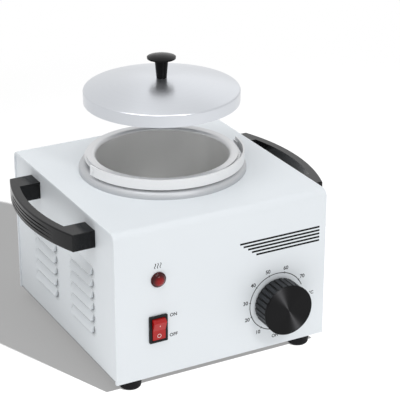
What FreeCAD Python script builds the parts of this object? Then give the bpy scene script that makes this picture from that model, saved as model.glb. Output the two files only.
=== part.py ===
import FreeCAD, Part
import os
from math import atan2, cos, pi, sin, sqrt
from types import SimpleNamespace

import Sketcher
from FreeCAD import Placement, Rotation, Vector

# Single-pot wax warmer: a folded steel casing on rubber feet, a heated well with
# a lift-out pot, a lid lifted above it, two side handles and a front control panel.
# Lengths are in millimetres, +Z is up, -Y is the front. The origin is on the table,
# under the middle of the whole object.

sizes = {
    # Casing
    "casing_width": 210,
    "casing_depth": 220,
    "casing_height": 143,
    "steel_gauge": 1.2,
    "panel_gauge": 1.2,
    "base_gauge": 1.5,
    "top_bend": 7,          # outside radius of the bends over the front and the back
    "edge_lip": 2.8,        # frame turned in round each open side of the shell
    "edge_round": 0.9,
    "seam_gap": 0.3,
    "flange_width": 17,     # flanges along the bottom that the base is screwed to
    "corner_relief": 2,
    # Louvres of the side panels
    "louvre_length": 45,
    "louvre_pitch": 11.4,
    "louvre_rows": 6,
    "louvre_first": 30.5,   # lowest lip above the casing's bottom edge
    "louvre_spacing": 80,   # between the middles of the two columns
    "louvre_height": 6.5,
    "louvre_depth": 3,
    "louvre_skin": 0.8,
    "base_slot_width": 5,
    # Feet
    "foot_height": 11,
    "foot_radius": 10.5,
    "foot_tip_radius": 9.6,
    "foot_round": 2.2,
    "foot_inset_x": 19,     # foot axis inside the casing's side
    "foot_inset_y": 13,
    "foot_recess_radius": 4,
    "foot_recess_depth": 6,
    # Side handles
    "handle_length": 142,
    "handle_height": 16,
    "handle_top_drop": 11,  # below the top of the casing
    "handle_end_reach": 20, # outside the casing's side
    "handle_reach": 33.5,
    "handle_bar": 8,
    "handle_block": 21.5,
    "handle_round": 1.2,
    "grip_groove_width": 1.3,
    "grip_groove_depth": 1,
    "grip_groove_pitch": 3.4,
    "grip_groove_span": 104,
    # Heated well and its collar
    "pot_offset": 6.4,      # pot axis behind the middle of the casing
    "well_floor_rise": 43,  # floor of the well above the casing's bottom edge
    "well_gap": 1.8,        # pot inside the well
    "well_wall": 1.5,
    "well_flange_width": 6,
    "well_flange_gauge": 1.2,
    "opening_gap": 0.5,
    "collar_overhang": 5.5, # collar outside the well's flange
    "collar_cover": 4.9,    # collar inside the edge of the well's flange
    "collar_height": 7,
    "collar_edge": 1.2,
    "collar_bead": 1,
    "collar_gap": 0.5,
    # Heater
    "heater_gauge": 2.6,
    "heater_height": 45,
    "heater_lift": 10,      # above the floor of the well
    "heater_gap": 0.2,
    "heater_split": 9,
    "heater_ear": 11,
    "heater_ear_gauge": 2,
    "wrap_gap": 0.4,
    "wrap_thickness": 8,
    "wrap_height": 60,
    "wrap_opening": 50,
    # Pot
    "pot_bore": 61,
    "pot_wall": 1.2,
    "pot_corner": 9,
    "pot_rim_rise": 15.5,   # rim above the casing's top
    "pot_flare": 3.4,
    "pot_stand_gap": 0.2,
    "rim_width": 8.4,       # from the bore to the step that the lid seats round
    "seat_depth": 2,
    "seat_margin": 0.2,     # seat beyond the lid's skirt
    # Lid
    "lid_wall": 1,
    "lid_skirt": 11.5,
    "lid_shoulder": 1.6,
    "lid_rise": 10.2,
    "lid_fit": 0.6,         # skirt round the pot's rim
    "lid_raised": 51.5,     # lid above its seat
    "lid_seat_gap": 0.2,
    "washer_radius": 6,
    "washer_gauge": 0.8,
    "washer_gap": 0.1,
    "lid_knob_radius": 13,
    "lid_knob_height": 21.4,
    "lid_stem_radius": 4.7,
    "lid_stem_top": 6.2,
    "lid_stem_height": 16.4,
    "lid_cap_flare": 1.5,
    "lid_cap_edge": 1.3,
    # Bail
    "ear_gauge": 1.2,
    "ear_gap": 0.4,         # ear outside the lid's skirt
    "ear_width": 6,
    "ear_over_pin": 0.8,
    "bail_gauge": 1.4,
    "bail_width": 9.2,
    "bail_gap": 1.1,        # strip outside the ears
    "bail_end_set": 5,      # ends of the strip in front of the pot's axis
    "bail_pivot_set": 8.5,  # pivot in front of the pot's axis
    "bail_pivot_drop": 2.2, # pivot below the rim
    "bail_pin_radius": 1.5,
    "bail_pin_fit": 0.08,
    "bail_head_radius": 2.6,
    "bail_head_height": 0.5,
    # Control knob and thermostat
    "knob_place_x": 54.9,
    "knob_place_z": 44.1,   # above the casing's bottom edge
    "knob_radius": 23.2,
    "knob_stand": 1.5,      # knob clear of the panel
    "knob_reach": 21.5,
    "knob_wall": 2.7,
    "knob_web": 4.5,
    "knob_hub": 6.5,
    "knob_flutes": 28,
    "knob_flute_radius": 0.9,
    "disc_radius": 23.8,
    "disc_thickness": 2,
    "disc_round": 0.6,
    "shaft_radius": 3,
    "shaft_fit": 0.05,
    "shaft_seat": 12,       # shaft inside the knob's hub
    "bush_radius": 5,
    "bush_gap": 0.4,
    "thermostat_width": 34,
    "thermostat_height": 40,
    "thermostat_depth": 22,
    "thermostat_screw_pitch": 28,
    "bulb_radius": 3,
    "bulb_length": 64,
    "bulb_gap": 0.1,
    "bulb_place_x": 20,
    "capillary_radius": 0.9,
    "clip_gauge": 0.8,
    "clip_width": 10,
    # Rocker switch
    "switch_place_x": -64.6,
    "switch_place_z": 46.5,
    "switch_width": 17.5,
    "switch_height": 25.5,
    "switch_bezel": 1.8,
    "switch_frame_x": 2.4,
    "switch_frame_z": 2,
    "switch_body_wall": 1.1,
    "switch_depth": 20,
    "rocker_depth": 3,      # rocker behind its pivot
    "rocker_pivot_set": 1.2,# pivot behind the panel's face
    "rocker_gap": 0.3,
    "rocker_face": 5.6,
    "rocker_dip": 1.5,
    "rocker_pin_radius": 1.2,
    "rocker_pin_length": 0.9,
    "rocker_pin_fit": 0.06,
    "rocker_tilt": 11,      # degrees either side of level
    "blade_width": 6.3,
    "blade_gauge": 0.8,
    "blade_length": 8,
    "blade_pitch": 8,
    # Pilot lamp
    "lamp_place_x": -63.8,
    "lamp_place_z": 93.5,
    "lamp_rim_radius": 7,
    "lamp_rim_height": 1.5,
    "lamp_barrel_radius": 4.7,
    "lamp_barrel_length": 20,
    "lamp_barrel_wall": 0.9,
    "lamp_hole_gap": 0.2,
    "lens_radius": 6.2,
    "lens_height": 3.6,
    "lens_plug": 5,
    "lens_fit": 0.1,
    "lamp_clip_radius": 8,
    "lamp_clip_gauge": 1,
    "lamp_tail_radius": 0.6,
    "lamp_tail_gap": 2,     # each lead beside the lamp's axis
    # Mains inlet in the back
    "inlet_place_x": 60,
    "inlet_place_z": 34,
    "inlet_width": 50,
    "inlet_height": 22.5,
    "inlet_round": 3,
    "inlet_reach": 3,
    "inlet_body_width": 27,
    "inlet_body_height": 20,
    "inlet_depth": 20,
    "inlet_gap": 0.4,
    "inlet_mouth_width": 24,
    "inlet_mouth_height": 16.6,
    "inlet_mouth_depth": 16,
    "inlet_mouth_corner": 4.5,
    "inlet_screw_pitch": 40,
    "pin_width": 4,
    "pin_gauge": 2,
    "pin_pitch": 14,
    "pin_drop": 4,
    "pin_tail": 9,
    "pin_in": 2.5,          # pin tips inside the mouth
    # Screws
    "screw_radius": 1.6,
    "screw_head_radius": 3,
    "screw_head_height": 1.7,
    "screw_clearance": 0.3,
    "screw_slot": 0.9,
    "screw_slot_depth": 0.9,
    "base_screw_length": 8,
    "base_screw_pitch": 120,
    "side_screw_pitch": 100,
    "foot_screw_length": 12,
    "handle_screw_length": 13,
    "well_screw_length": 7,
    "small_screw_length": 8,
    "nut_radius": 4,
    "nut_height": 2.6,
    # Wiring
    "wire_radius": 1.1,
    "wire_bend": 9,
    "wire_slack": 12,       # loop that a lead makes behind its terminal
    "fuse_radius": 2.3,
    "fuse_length": 16,
    "fuse_place_x": -18,
    "earth_place_x": 30,
    "earth_inset_y": 28,
}


class Dim:
    # A length together with the formula that it comes from.
    def __init__(self, value, text):
        self.value = float(value)
        self.text = text

    def __add__(self, other):
        other = dim(other)
        return Dim(self.value + other.value, f"({self.text} + {other.text})")

    def __sub__(self, other):
        other = dim(other)
        return Dim(self.value - other.value, f"({self.text} - {other.text})")

    def __mul__(self, other):
        other = dim(other)
        return Dim(self.value * other.value, f"({self.text} * {other.text})")

    def __truediv__(self, other):
        other = dim(other)
        return Dim(self.value / other.value, f"({self.text} / {other.text})")

    def __radd__(self, other):
        return dim(other) + self

    def __rsub__(self, other):
        return dim(other) - self

    def __rmul__(self, other):
        return dim(other) * self

    def __neg__(self):
        return Dim(-self.value, f"(-{self.text})")

    def root(self):
        return Dim(sqrt(self.value), f"sqrt({self.text})")


def dim(value):
    return value if isinstance(value, Dim) else Dim(value, f"({value:.9g})")


doc = FreeCAD.newDocument("wax_warmer")
sheet = doc.addObject("Spreadsheet::Sheet", "Sizes")
for row, (name, value) in enumerate(sizes.items(), 1):
    sheet.set(f"A{row}", name)
    sheet.set(f"B{row}", str(value))
    sheet.setAlias(f"B{row}", name)
doc.recompute()
s = SimpleNamespace(**{name: Dim(value, f"Sizes.{name}") for name, value in sizes.items()})

LEFT, RIGHT = 1, -1
OUT_FRONT = Rotation(Vector(1, 0, 0), 90)    # local z points out of the front panel
OUT_BACK = Rotation(Vector(1, 0, 0), -90)    # local z points out of the back
UPRIGHT = Rotation()
HEAD_DOWN = Rotation(Vector(1, 0, 0), 180)
TO_RIGHT = Rotation(Vector(0, 1, 0), 90)     # local z points along +X
TO_LEFT = Rotation(Vector(0, 1, 0), -90)

parts = []


# Shared ways of drawing and shaping

def new_body(label):
    body = doc.addObject("PartDesign::Body", label)
    parts.append(body)
    return body


def place(item, x, y, z, turn=UPRIGHT):
    item.Placement = Placement(Vector(dim(x).value, dim(y).value, dim(z).value), turn)
    for axis, value in zip("xyz", (x, y, z)):
        item.setExpression(f"Placement.Base.{axis}", dim(value).text)
    return item


def new_sketch(body, role, shift=0):
    sketch = body.newObject("Sketcher::SketchObject", f"{body.Name}_sketch")
    plane = next(f for f in body.Origin.OriginFeatures if f.Role == role)
    sketch.AttachmentSupport = [(plane, "")]
    sketch.MapMode = "FlatFace"
    sketch.setExpression("AttachmentOffset.Base.z", dim(shift).text)
    return sketch


def fix(sketch, kind, value, *where):
    index = sketch.addConstraint(Sketcher.Constraint(kind, *where, dim(value).value))
    sketch.setExpression(f"Constraints[{index}]", dim(value).text)


def bend(start, end, radius, turn):
    chord = end - start
    across = Vector(-chord.y, chord.x, 0).normalize() * turn
    rise = sqrt(max(radius ** 2 - (chord.Length / 2) ** 2, 0))
    centre = (start + end) / 2 + across * rise
    angles = [atan2(p.y - centre.y, p.x - centre.x) for p in (start, end)]
    return Part.ArcOfCircle(Part.Circle(centre, Vector(0, 0, 1), radius), *angles[::turn])


# Closed outline through its corners. A corner may also give the radius of the bend
# that leaves it and the side that the bend turns to.
def outline(sketch, corners):
    spots = [Vector(dim(c[0]).value, dim(c[1]).value, 0) for c in corners]
    runs = []
    for corner, start, end in zip(corners, spots, spots[1:] + spots[:1]):
        if len(corner) == 2:
            runs.append((sketch.addGeometry(Part.LineSegment(start, end)), 1, 2))
            continue
        arc = sketch.addGeometry(bend(start, end, dim(corner[2]).value, corner[3]))
        runs.append((arc, 1, 2) if corner[3] == LEFT else (arc, 2, 1))
    for run, following in zip(runs, runs[1:] + runs[:1]):
        sketch.addConstraint(Sketcher.Constraint("Coincident", run[0], run[2], following[0], following[1]))
    for run, corner in zip(runs, corners):
        fix(sketch, "DistanceX", corner[0], -1, 1, run[0], run[1])
        fix(sketch, "DistanceY", corner[1], -1, 1, run[0], run[1])
        if len(corner) > 2:
            fix(sketch, "Radius", corner[2], run[0])


def rectangle(sketch, x0, x1, y0, y1):
    outline(sketch, [(x0, y0), (x1, y0), (x1, y1), (x0, y1)])


def circle(sketch, x, y, radius):
    spot = Vector(dim(x).value, dim(y).value, 0)
    ring = sketch.addGeometry(Part.Circle(spot, Vector(0, 0, 1), dim(radius).value))
    fix(sketch, "DistanceX", x, -1, 1, ring, 3)
    fix(sketch, "DistanceY", y, -1, 1, ring, 3)
    fix(sketch, "Radius", radius, ring)


def extrude(body, kind, sketch, length, both_ways=False, other_way=False):
    feature = body.newObject(f"PartDesign::{kind}", f"{body.Name}_{kind.lower()}")
    feature.Profile = sketch
    feature.setExpression("Length", dim(length).text)
    feature.SideType = "Symmetric" if both_ways else "One side"
    feature.Reversed = other_way
    return feature


def turn_solid(body, corners):
    sketch = new_sketch(body, "XZ_Plane")
    outline(sketch, corners)
    feature = body.newObject("PartDesign::Revolution", f"{body.Name}_turned")
    feature.Profile = sketch
    feature.ReferenceAxis = (sketch, ["V_Axis"])
    feature.Angle = 360


def round_edges(body, radius, wanted):
    doc.recompute()
    base = body.Tip
    names = [f"Edge{i}" for i, edge in enumerate(base.Shape.Edges, 1) if wanted(edge)]
    feature = body.newObject("PartDesign::Fillet", f"{body.Name}_round")
    feature.Base = (base, names)
    feature.setExpression("Radius", dim(radius).text)


def near(number, size):
    return abs(number - dim(size).value) < 0.01


def ring_at(*rings):
    def wanted(edge):
        if not isinstance(edge.Curve, Part.Circle):
            return False
        return any(near(edge.Curve.Radius, r) and near(edge.Curve.Center.z, z) for r, z in rings)
    return wanted


def upright_at(*spots):
    def wanted(edge):
        ends = [v.Point for v in edge.Vertexes]
        if len(ends) != 2 or near(ends[0].z, ends[1].z):
            return False
        return any(all(near(p.x, x) and near(p.y, y) for p in ends) for x, y in spots)
    return wanted


def block(name, x0, x1, y0, y1, z0, z1):
    box = doc.addObject("Part::Box", name)
    for side, low, high in (("Length", x0, x1), ("Width", y0, y1), ("Height", z0, z1)):
        box.setExpression(side, (dim(high) - dim(low)).text)
    return place(box, x0, y0, z0)


def rod(name, radius, length, x, y, z, turn=UPRIGHT):
    cylinder = doc.addObject("Part::Cylinder", name)
    cylinder.setExpression("Radius", dim(radius).text)
    cylinder.setExpression("Height", dim(length).text)
    return place(cylinder, x, y, z, turn)


def fuse(name, *pieces):
    joined = doc.addObject("Part::MultiFuse", name)
    joined.Shapes = list(pieces)
    return joined


def cut(name, base, tool):
    result = doc.addObject("Part::Cut", name)
    result.Base = base
    result.Tool = tool
    return result


def group(label, pieces):
    together = doc.addObject("Part::Compound", label)
    together.Links = list(pieces)
    parts.append(together)
    return together


# Cross-slot screw with its head below its origin and its shank above.
def screw(name, length, x, y, z, turn=UPRIGHT):
    head = rod(f"{name}_head", s.screw_head_radius, s.screw_head_height, 0, 0, -s.screw_head_height)
    shank = rod(f"{name}_shank", s.screw_radius, length, 0, 0, 0)
    reach = s.screw_head_radius * 0.7
    low, high = -s.screw_head_height - 1, s.screw_slot_depth - s.screw_head_height
    half = s.screw_slot / 2
    slots = fuse(f"{name}_slots",
                 block(f"{name}_slot_a", -reach, reach, -half, half, low, high),
                 block(f"{name}_slot_b", -half, half, -reach, reach, low, high))
    return place(cut(name, fuse(f"{name}_blank", head, shank), slots), x, y, z, turn)


def nut(name, x, y, z, turn=UPRIGHT):
    blank = doc.addObject("Part::Prism", f"{name}_blank")
    blank.Polygon = 6
    blank.setExpression("Circumradius", s.nut_radius.text)
    blank.setExpression("Height", s.nut_height.text)
    bore = rod(f"{name}_bore", s.screw_radius + s.shaft_fit, s.nut_height + 2 * PAST, 0, 0, -PAST)
    return place(cut(name, blank, bore), x, y, z, turn)


# Places that several pieces share

case_bottom = s.foot_height
case_top = s.foot_height + s.casing_height
case_y = (s.knob_reach - s.inlet_reach) / 2
front_y = case_y - s.casing_depth / 2
back_y = case_y + s.casing_depth / 2
side_x = s.casing_width / 2
panel_x = side_x - s.steel_gauge              # outer face of the side panels
base_top = case_bottom + s.base_gauge
flange_top = base_top + s.steel_gauge
inner_front = front_y + s.steel_gauge
inner_back = back_y - s.steel_gauge
pot_y = case_y + s.pot_offset
well_floor = case_bottom + s.well_floor_rise
well_bore = s.pot_bore + s.pot_wall + s.well_gap
well_radius = well_bore + s.well_wall
well_flange = well_radius + s.well_flange_width
rim_top = case_top + s.pot_rim_rise
screw_hole = s.screw_radius + s.screw_clearance
PAST = 1                                       # cuts run this far past a face

base_screw_spots = [(sx * s.base_screw_pitch / 2, y) for sx in (-1, 1)
                    for y in (inner_front + s.flange_width / 2, inner_back - s.flange_width / 2)]
side_flange_x = panel_x - s.panel_gauge - s.flange_width / 2
side_screw_spots = [(sx * side_flange_x, case_y + sy * s.side_screw_pitch / 2)
                    for sx in (-1, 1) for sy in (-1, 1)]
foot_x = side_x - s.foot_inset_x
foot_reach = s.casing_depth / 2 - s.foot_inset_y
foot_spots = {f"{end}_{side}_foot": (sx * foot_x, case_y + sy * foot_reach)
              for end, sy in (("front", -1), ("rear", 1)) for side, sx in (("left", -1), ("right", 1))}
handle_z = case_top - s.handle_top_drop - s.handle_height / 2
handle_screw_ys = [case_y + sy * (s.handle_length - s.handle_block) / 2 for sy in (-1, 1)]
well_screw_radius = (well_radius + s.opening_gap + well_flange) / 2
well_screw_spots = [(well_screw_radius * cos(a), pot_y + well_screw_radius * sin(a))
                    for a in (pi / 4, 3 * pi / 4, 5 * pi / 4, 7 * pi / 4)]
knob_z = case_bottom + s.knob_place_z
switch_z = case_bottom + s.switch_place_z
lamp_z = case_bottom + s.lamp_place_z
inlet_z = case_bottom + s.inlet_place_z
thermostat_screw_xs = [s.knob_place_x + sx * s.thermostat_screw_pitch / 2 for sx in (-1, 1)]


# Steel casing

# Outline of the folded sheet seen from the side, drawn in by an inset all round.
def arch(inset, low):
    radius = s.top_bend - inset
    return [(front_y + inset, low),
            (front_y + inset, case_top - s.top_bend, radius, RIGHT),
            (front_y + s.top_bend, case_top - inset),
            (back_y - s.top_bend, case_top - inset, radius, RIGHT),
            (back_y - inset, case_top - s.top_bend),
            (back_y - inset, low)]


def make_shell():
    body = new_body("housing_shell")
    sketch = new_sketch(body, "YZ_Plane")
    outline(sketch, arch(0, case_bottom))
    extrude(body, "Pad", sketch, s.casing_width, both_ways=True)
    sketch = new_sketch(body, "YZ_Plane")
    outline(sketch, arch(s.steel_gauge, case_bottom - PAST))
    extrude(body, "Pocket", sketch, s.casing_width - 2 * s.steel_gauge, both_ways=True)
    for side in (-1, 1):
        sketch = new_sketch(body, "YZ_Plane", side * (side_x + PAST))
        outline(sketch, arch(s.edge_lip, case_bottom - PAST))
        extrude(body, "Pocket", sketch, s.steel_gauge + 2 * PAST, other_way=side < 0)
    sketch = new_sketch(body, "YZ_Plane")
    rectangle(sketch, inner_front, inner_front + s.flange_width, base_top, flange_top)
    rectangle(sketch, inner_back - s.flange_width, inner_back, base_top, flange_top)
    length = 2 * (panel_x - s.panel_gauge - s.corner_relief)
    extrude(body, "Pad", sketch, length, both_ways=True)

    sketch = new_sketch(body, "XY_Plane", case_top + PAST)
    circle(sketch, 0, pot_y, well_radius + s.opening_gap)
    for x, y in well_screw_spots:
        circle(sketch, x, y, s.screw_radius)
    extrude(body, "Pocket", sketch, s.steel_gauge + 2 * PAST)

    sketch = new_sketch(body, "XZ_Plane", PAST - front_y)
    circle(sketch, s.knob_place_x, knob_z, s.bush_radius + s.bush_gap)
    for x in thermostat_screw_xs:
        circle(sketch, x, knob_z, screw_hole)
    circle(sketch, s.lamp_place_x, lamp_z, s.lamp_barrel_radius + s.lamp_hole_gap)
    half_x = switch_inner_x + s.switch_body_wall + s.rocker_gap
    half_z = switch_inner_z + s.switch_body_wall + s.rocker_gap
    rectangle(sketch, s.switch_place_x - half_x, s.switch_place_x + half_x,
              switch_z - half_z, switch_z + half_z)
    extrude(body, "Pocket", sketch, s.steel_gauge + 2 * PAST)

    sketch = new_sketch(body, "XZ_Plane", PAST - inner_back)
    half_x = s.inlet_body_width / 2 + s.inlet_gap
    half_z = s.inlet_body_height / 2 + s.inlet_gap
    rectangle(sketch, s.inlet_place_x - half_x, s.inlet_place_x + half_x,
              inlet_z - half_z, inlet_z + half_z)
    for sx in (-1, 1):
        circle(sketch, s.inlet_place_x + sx * s.inlet_screw_pitch / 2, inlet_z, s.screw_radius)
    extrude(body, "Pocket", sketch, s.steel_gauge + 2 * PAST)

    sketch = new_sketch(body, "XY_Plane", flange_top + PAST)
    for x, y in base_screw_spots:
        circle(sketch, x, y, s.screw_radius)
    for x, y in foot_spots.values():
        circle(sketch, x, y, screw_hole)
    extrude(body, "Pocket", sketch, s.steel_gauge + 2 * PAST)

    def outer_side_edge(edge):
        middle = edge.valueAt((edge.FirstParameter + edge.LastParameter) / 2)
        if not all(near(abs(p.x), side_x) for p in [middle] + [v.Point for v in edge.Vertexes]):
            return False
        on_bend = isinstance(edge.Curve, Part.Circle) and near(edge.Curve.Radius, s.top_bend)
        return on_bend or near(middle.y, front_y) or near(middle.y, back_y) or near(middle.z, case_top)
    round_edges(body, s.edge_round, outer_side_edge)


def make_side_panel(label, side):
    body = new_body(label)
    sketch = new_sketch(body, "YZ_Plane", side * panel_x)
    outline(sketch, arch(s.steel_gauge + s.seam_gap, base_top))
    extrude(body, "Pad", sketch, s.panel_gauge, other_way=side > 0)

    near, far = panel_x - s.panel_gauge, panel_x - s.panel_gauge - s.flange_width
    half_y = s.casing_depth / 2 - s.steel_gauge - s.flange_width - s.corner_relief
    sketch = new_sketch(body, "XY_Plane", base_top)
    rectangle(sketch, side * near, side * far, case_y - half_y, case_y + half_y)
    extrude(body, "Pad", sketch, s.panel_gauge)
    sketch = new_sketch(body, "XY_Plane", base_top + s.panel_gauge + PAST)
    for x, y in side_screw_spots:
        if x.value * side > 0:
            circle(sketch, x, y, s.screw_radius)
    extrude(body, "Pocket", sketch, s.panel_gauge + 2 * PAST)

    # Hooded louvres that open downwards, in two columns
    for column in (-1, 1):
        middle_y = case_y + column * s.louvre_spacing / 2
        for kind in ("Pad", "Pocket"):
            sketch = new_sketch(body, "XZ_Plane", -middle_y)
            inset = s.louvre_skin if kind == "Pocket" else dim(0)
            past = PAST if kind == "Pocket" else 0
            for row in range(int(s.louvre_rows.value)):
                lip = case_bottom + s.louvre_first + row * s.louvre_pitch
                root = panel_x - s.panel_gauge - past if kind == "Pocket" else panel_x - s.panel_gauge / 2
                nose = panel_x + s.louvre_depth - inset
                outline(sketch, [(side * root, lip - past * s.louvre_skin),
                                 (side * nose, lip - past * s.louvre_skin),
                                 (side * panel_x, lip + s.louvre_height - 2 * inset),
                                 (side * root, lip + s.louvre_height - 2 * inset)])
            extrude(body, kind, sketch, s.louvre_length - 2 * inset, both_ways=True)

    sketch = new_sketch(body, "YZ_Plane", side * (panel_x + PAST))
    for y in handle_screw_ys:
        circle(sketch, y, handle_z, screw_hole)
    extrude(body, "Pocket", sketch, s.panel_gauge + 2 * PAST, other_way=side < 0)


def make_base():
    body = new_body("base_plate")
    half_x = panel_x - s.seam_gap
    half_y = s.casing_depth / 2 - s.steel_gauge - s.seam_gap
    sketch = new_sketch(body, "XY_Plane", case_bottom)
    rectangle(sketch, -half_x, half_x, case_y - half_y, case_y + half_y)
    extrude(body, "Pad", sketch, s.base_gauge)
    sketch = new_sketch(body, "XY_Plane", base_top + PAST)
    for x, y in base_screw_spots + side_screw_spots + list(foot_spots.values()):
        circle(sketch, x, y, screw_hole)
    circle(sketch, s.earth_place_x, back_y - s.earth_inset_y, s.screw_radius)
    for row in range(-3, 4):
        slot_y = case_y + row * s.louvre_pitch
        rectangle(sketch, -s.louvre_length / 2, s.louvre_length / 2,
                  slot_y - s.base_slot_width / 2, slot_y + s.base_slot_width / 2)
    extrude(body, "Pocket", sketch, s.base_gauge + 2 * PAST)
    group("base_screws", [screw(f"base_screw_{i}", s.base_screw_length, x, y, case_bottom)
                          for i, (x, y) in enumerate(base_screw_spots + side_screw_spots, 1)])


def make_feet():
    for label, (x, y) in foot_spots.items():
        body = place(new_body(label), x, y, 0)
        turn_solid(body, [(s.foot_recess_radius, 0), (s.foot_tip_radius, 0), (s.foot_radius, case_bottom),
                          (screw_hole, case_bottom), (screw_hole, s.foot_recess_depth),
                          (s.foot_recess_radius, s.foot_recess_depth)])
        round_edges(body, s.foot_round, ring_at((s.foot_tip_radius, 0)))
    group("foot_screws", [screw(f"{label}_screw", s.foot_screw_length, x, y, s.foot_recess_depth)
                          for label, (x, y) in foot_spots.items()])
    group("foot_nuts", [nut(f"{label}_nut", x, y, flange_top) for label, (x, y) in foot_spots.items()])


# Handle seen from above: two square end blocks joined by a bowed grip.
def make_handle(label, side):
    body = new_body(label)
    end_reach = s.handle_end_reach + s.steel_gauge
    reach = s.handle_reach + s.steel_gauge
    bow = reach - end_reach
    half = s.handle_length / 2
    inner_half = half - s.handle_block
    outer_arc = (half * half + bow * bow) / (2 * bow)
    inner_arc = outer_arc - s.handle_bar
    arc_centre = panel_x + reach - outer_arc
    inner_end = arc_centre + (inner_arc * inner_arc - inner_half * inner_half).root()
    low, high = case_y - half, case_y + half
    outward = LEFT if side > 0 else RIGHT
    sketch = new_sketch(body, "XY_Plane", handle_z)
    outline(sketch, [(side * panel_x, low),
                     (side * (panel_x + end_reach), low, outer_arc, outward),
                     (side * (panel_x + end_reach), high),
                     (side * panel_x, high),
                     (side * panel_x, case_y + inner_half),
                     (side * inner_end, case_y + inner_half, inner_arc, -outward),
                     (side * inner_end, case_y - inner_half),
                     (side * panel_x, case_y - inner_half)])
    extrude(body, "Pad", sketch, s.handle_height, both_ways=True)

    # Moulded grooves along the outer face of the grip, running out at their ends
    span = s.grip_groove_span / 2
    outside = outer_arc + PAST
    floor_end = arc_centre + (outer_arc * outer_arc - span * span).root() + s.grip_groove_depth / 4
    floor_rise = panel_x + reach - s.grip_groove_depth - floor_end
    floor_arc = (span * span + floor_rise * floor_rise) / (2 * floor_rise)
    outside_end = arc_centre + (outside * outside - span * span).root()
    for step in (-1, 0, 1):
        sketch = new_sketch(body, "XY_Plane", handle_z + step * s.grip_groove_pitch)
        outline(sketch, [(side * floor_end, case_y - span, floor_arc, outward),
                         (side * floor_end, case_y + span),
                         (side * outside_end, case_y + span, outside, -outward),
                         (side * outside_end, case_y - span)])
        extrude(body, "Pocket", sketch, s.grip_groove_width, both_ways=True)

    sketch = new_sketch(body, "YZ_Plane", side * (panel_x - PAST))
    for y in handle_screw_ys:
        circle(sketch, y, handle_z, s.screw_radius)
    depth = s.handle_screw_length - s.panel_gauge + PAST + PAST
    extrude(body, "Pocket", sketch, depth, other_way=side > 0)

    def outer_edge(edge):
        ends = [v.Point for v in edge.Vertexes]
        if len(ends) != 2:
            return False
        far = all(near(abs(p.x), panel_x + end_reach) for p in ends)
        corner = near(abs(ends[0].z - ends[1].z), s.handle_height)
        level = all(near(abs(p.z - handle_z.value), s.handle_height / 2) for p in ends)
        end_face = all(near(abs(p.y - case_y.value), half) for p in ends)
        return (far and (corner or level)) or (level and end_face)
    round_edges(body, s.handle_round, outer_edge)


def make_handle_screws():
    group("handle_screws", [screw(f"{name}_handle_screw_{i}", s.handle_screw_length,
                                  side * (panel_x - s.panel_gauge), y, handle_z, turn)
                            for name, side, turn in (("left", -1, TO_LEFT), ("right", 1, TO_RIGHT))
                            for i, y in enumerate(handle_screw_ys, 1)])


# Heated well, collar, heater and wrap

def make_well():
    body = place(new_body("heating_well"), 0, pot_y, 0)
    flange_z = case_top + s.well_flange_gauge
    turn_solid(body, [(0, well_floor - s.well_wall), (well_radius, well_floor - s.well_wall),
                      (well_radius, case_top), (well_flange, case_top), (well_flange, flange_z),
                      (well_bore, flange_z), (well_bore, well_floor), (0, well_floor)])
    sketch = new_sketch(body, "XY_Plane", flange_z + PAST)
    for x, y in well_screw_spots:
        circle(sketch, x, y - pot_y, screw_hole)
    extrude(body, "Pocket", sketch, s.well_flange_gauge + 2 * PAST)

    body = place(new_body("well_collar"), 0, pot_y, case_top)
    under = s.well_flange_gauge + s.screw_head_height + s.collar_gap
    radius = well_flange + s.collar_overhang
    bore = well_flange - s.collar_cover
    foot_bore = well_flange + s.collar_gap
    crest = s.collar_height - s.collar_edge
    turn_solid(body, [(foot_bore, 0), (radius, 0), (radius, s.collar_edge, crest, LEFT),
                      (radius - crest, s.collar_height),
                      (bore + s.collar_bead, s.collar_height, s.collar_bead, LEFT),
                      (bore, s.collar_height - s.collar_bead), (bore, under), (foot_bore, under)])
    flange_top_z = case_top + s.well_flange_gauge
    group("well_screws", [screw(f"well_screw_{i}", s.well_screw_length, x, y, flange_top_z, HEAD_DOWN)
                          for i, (x, y) in enumerate(well_screw_spots, 1)])


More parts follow.
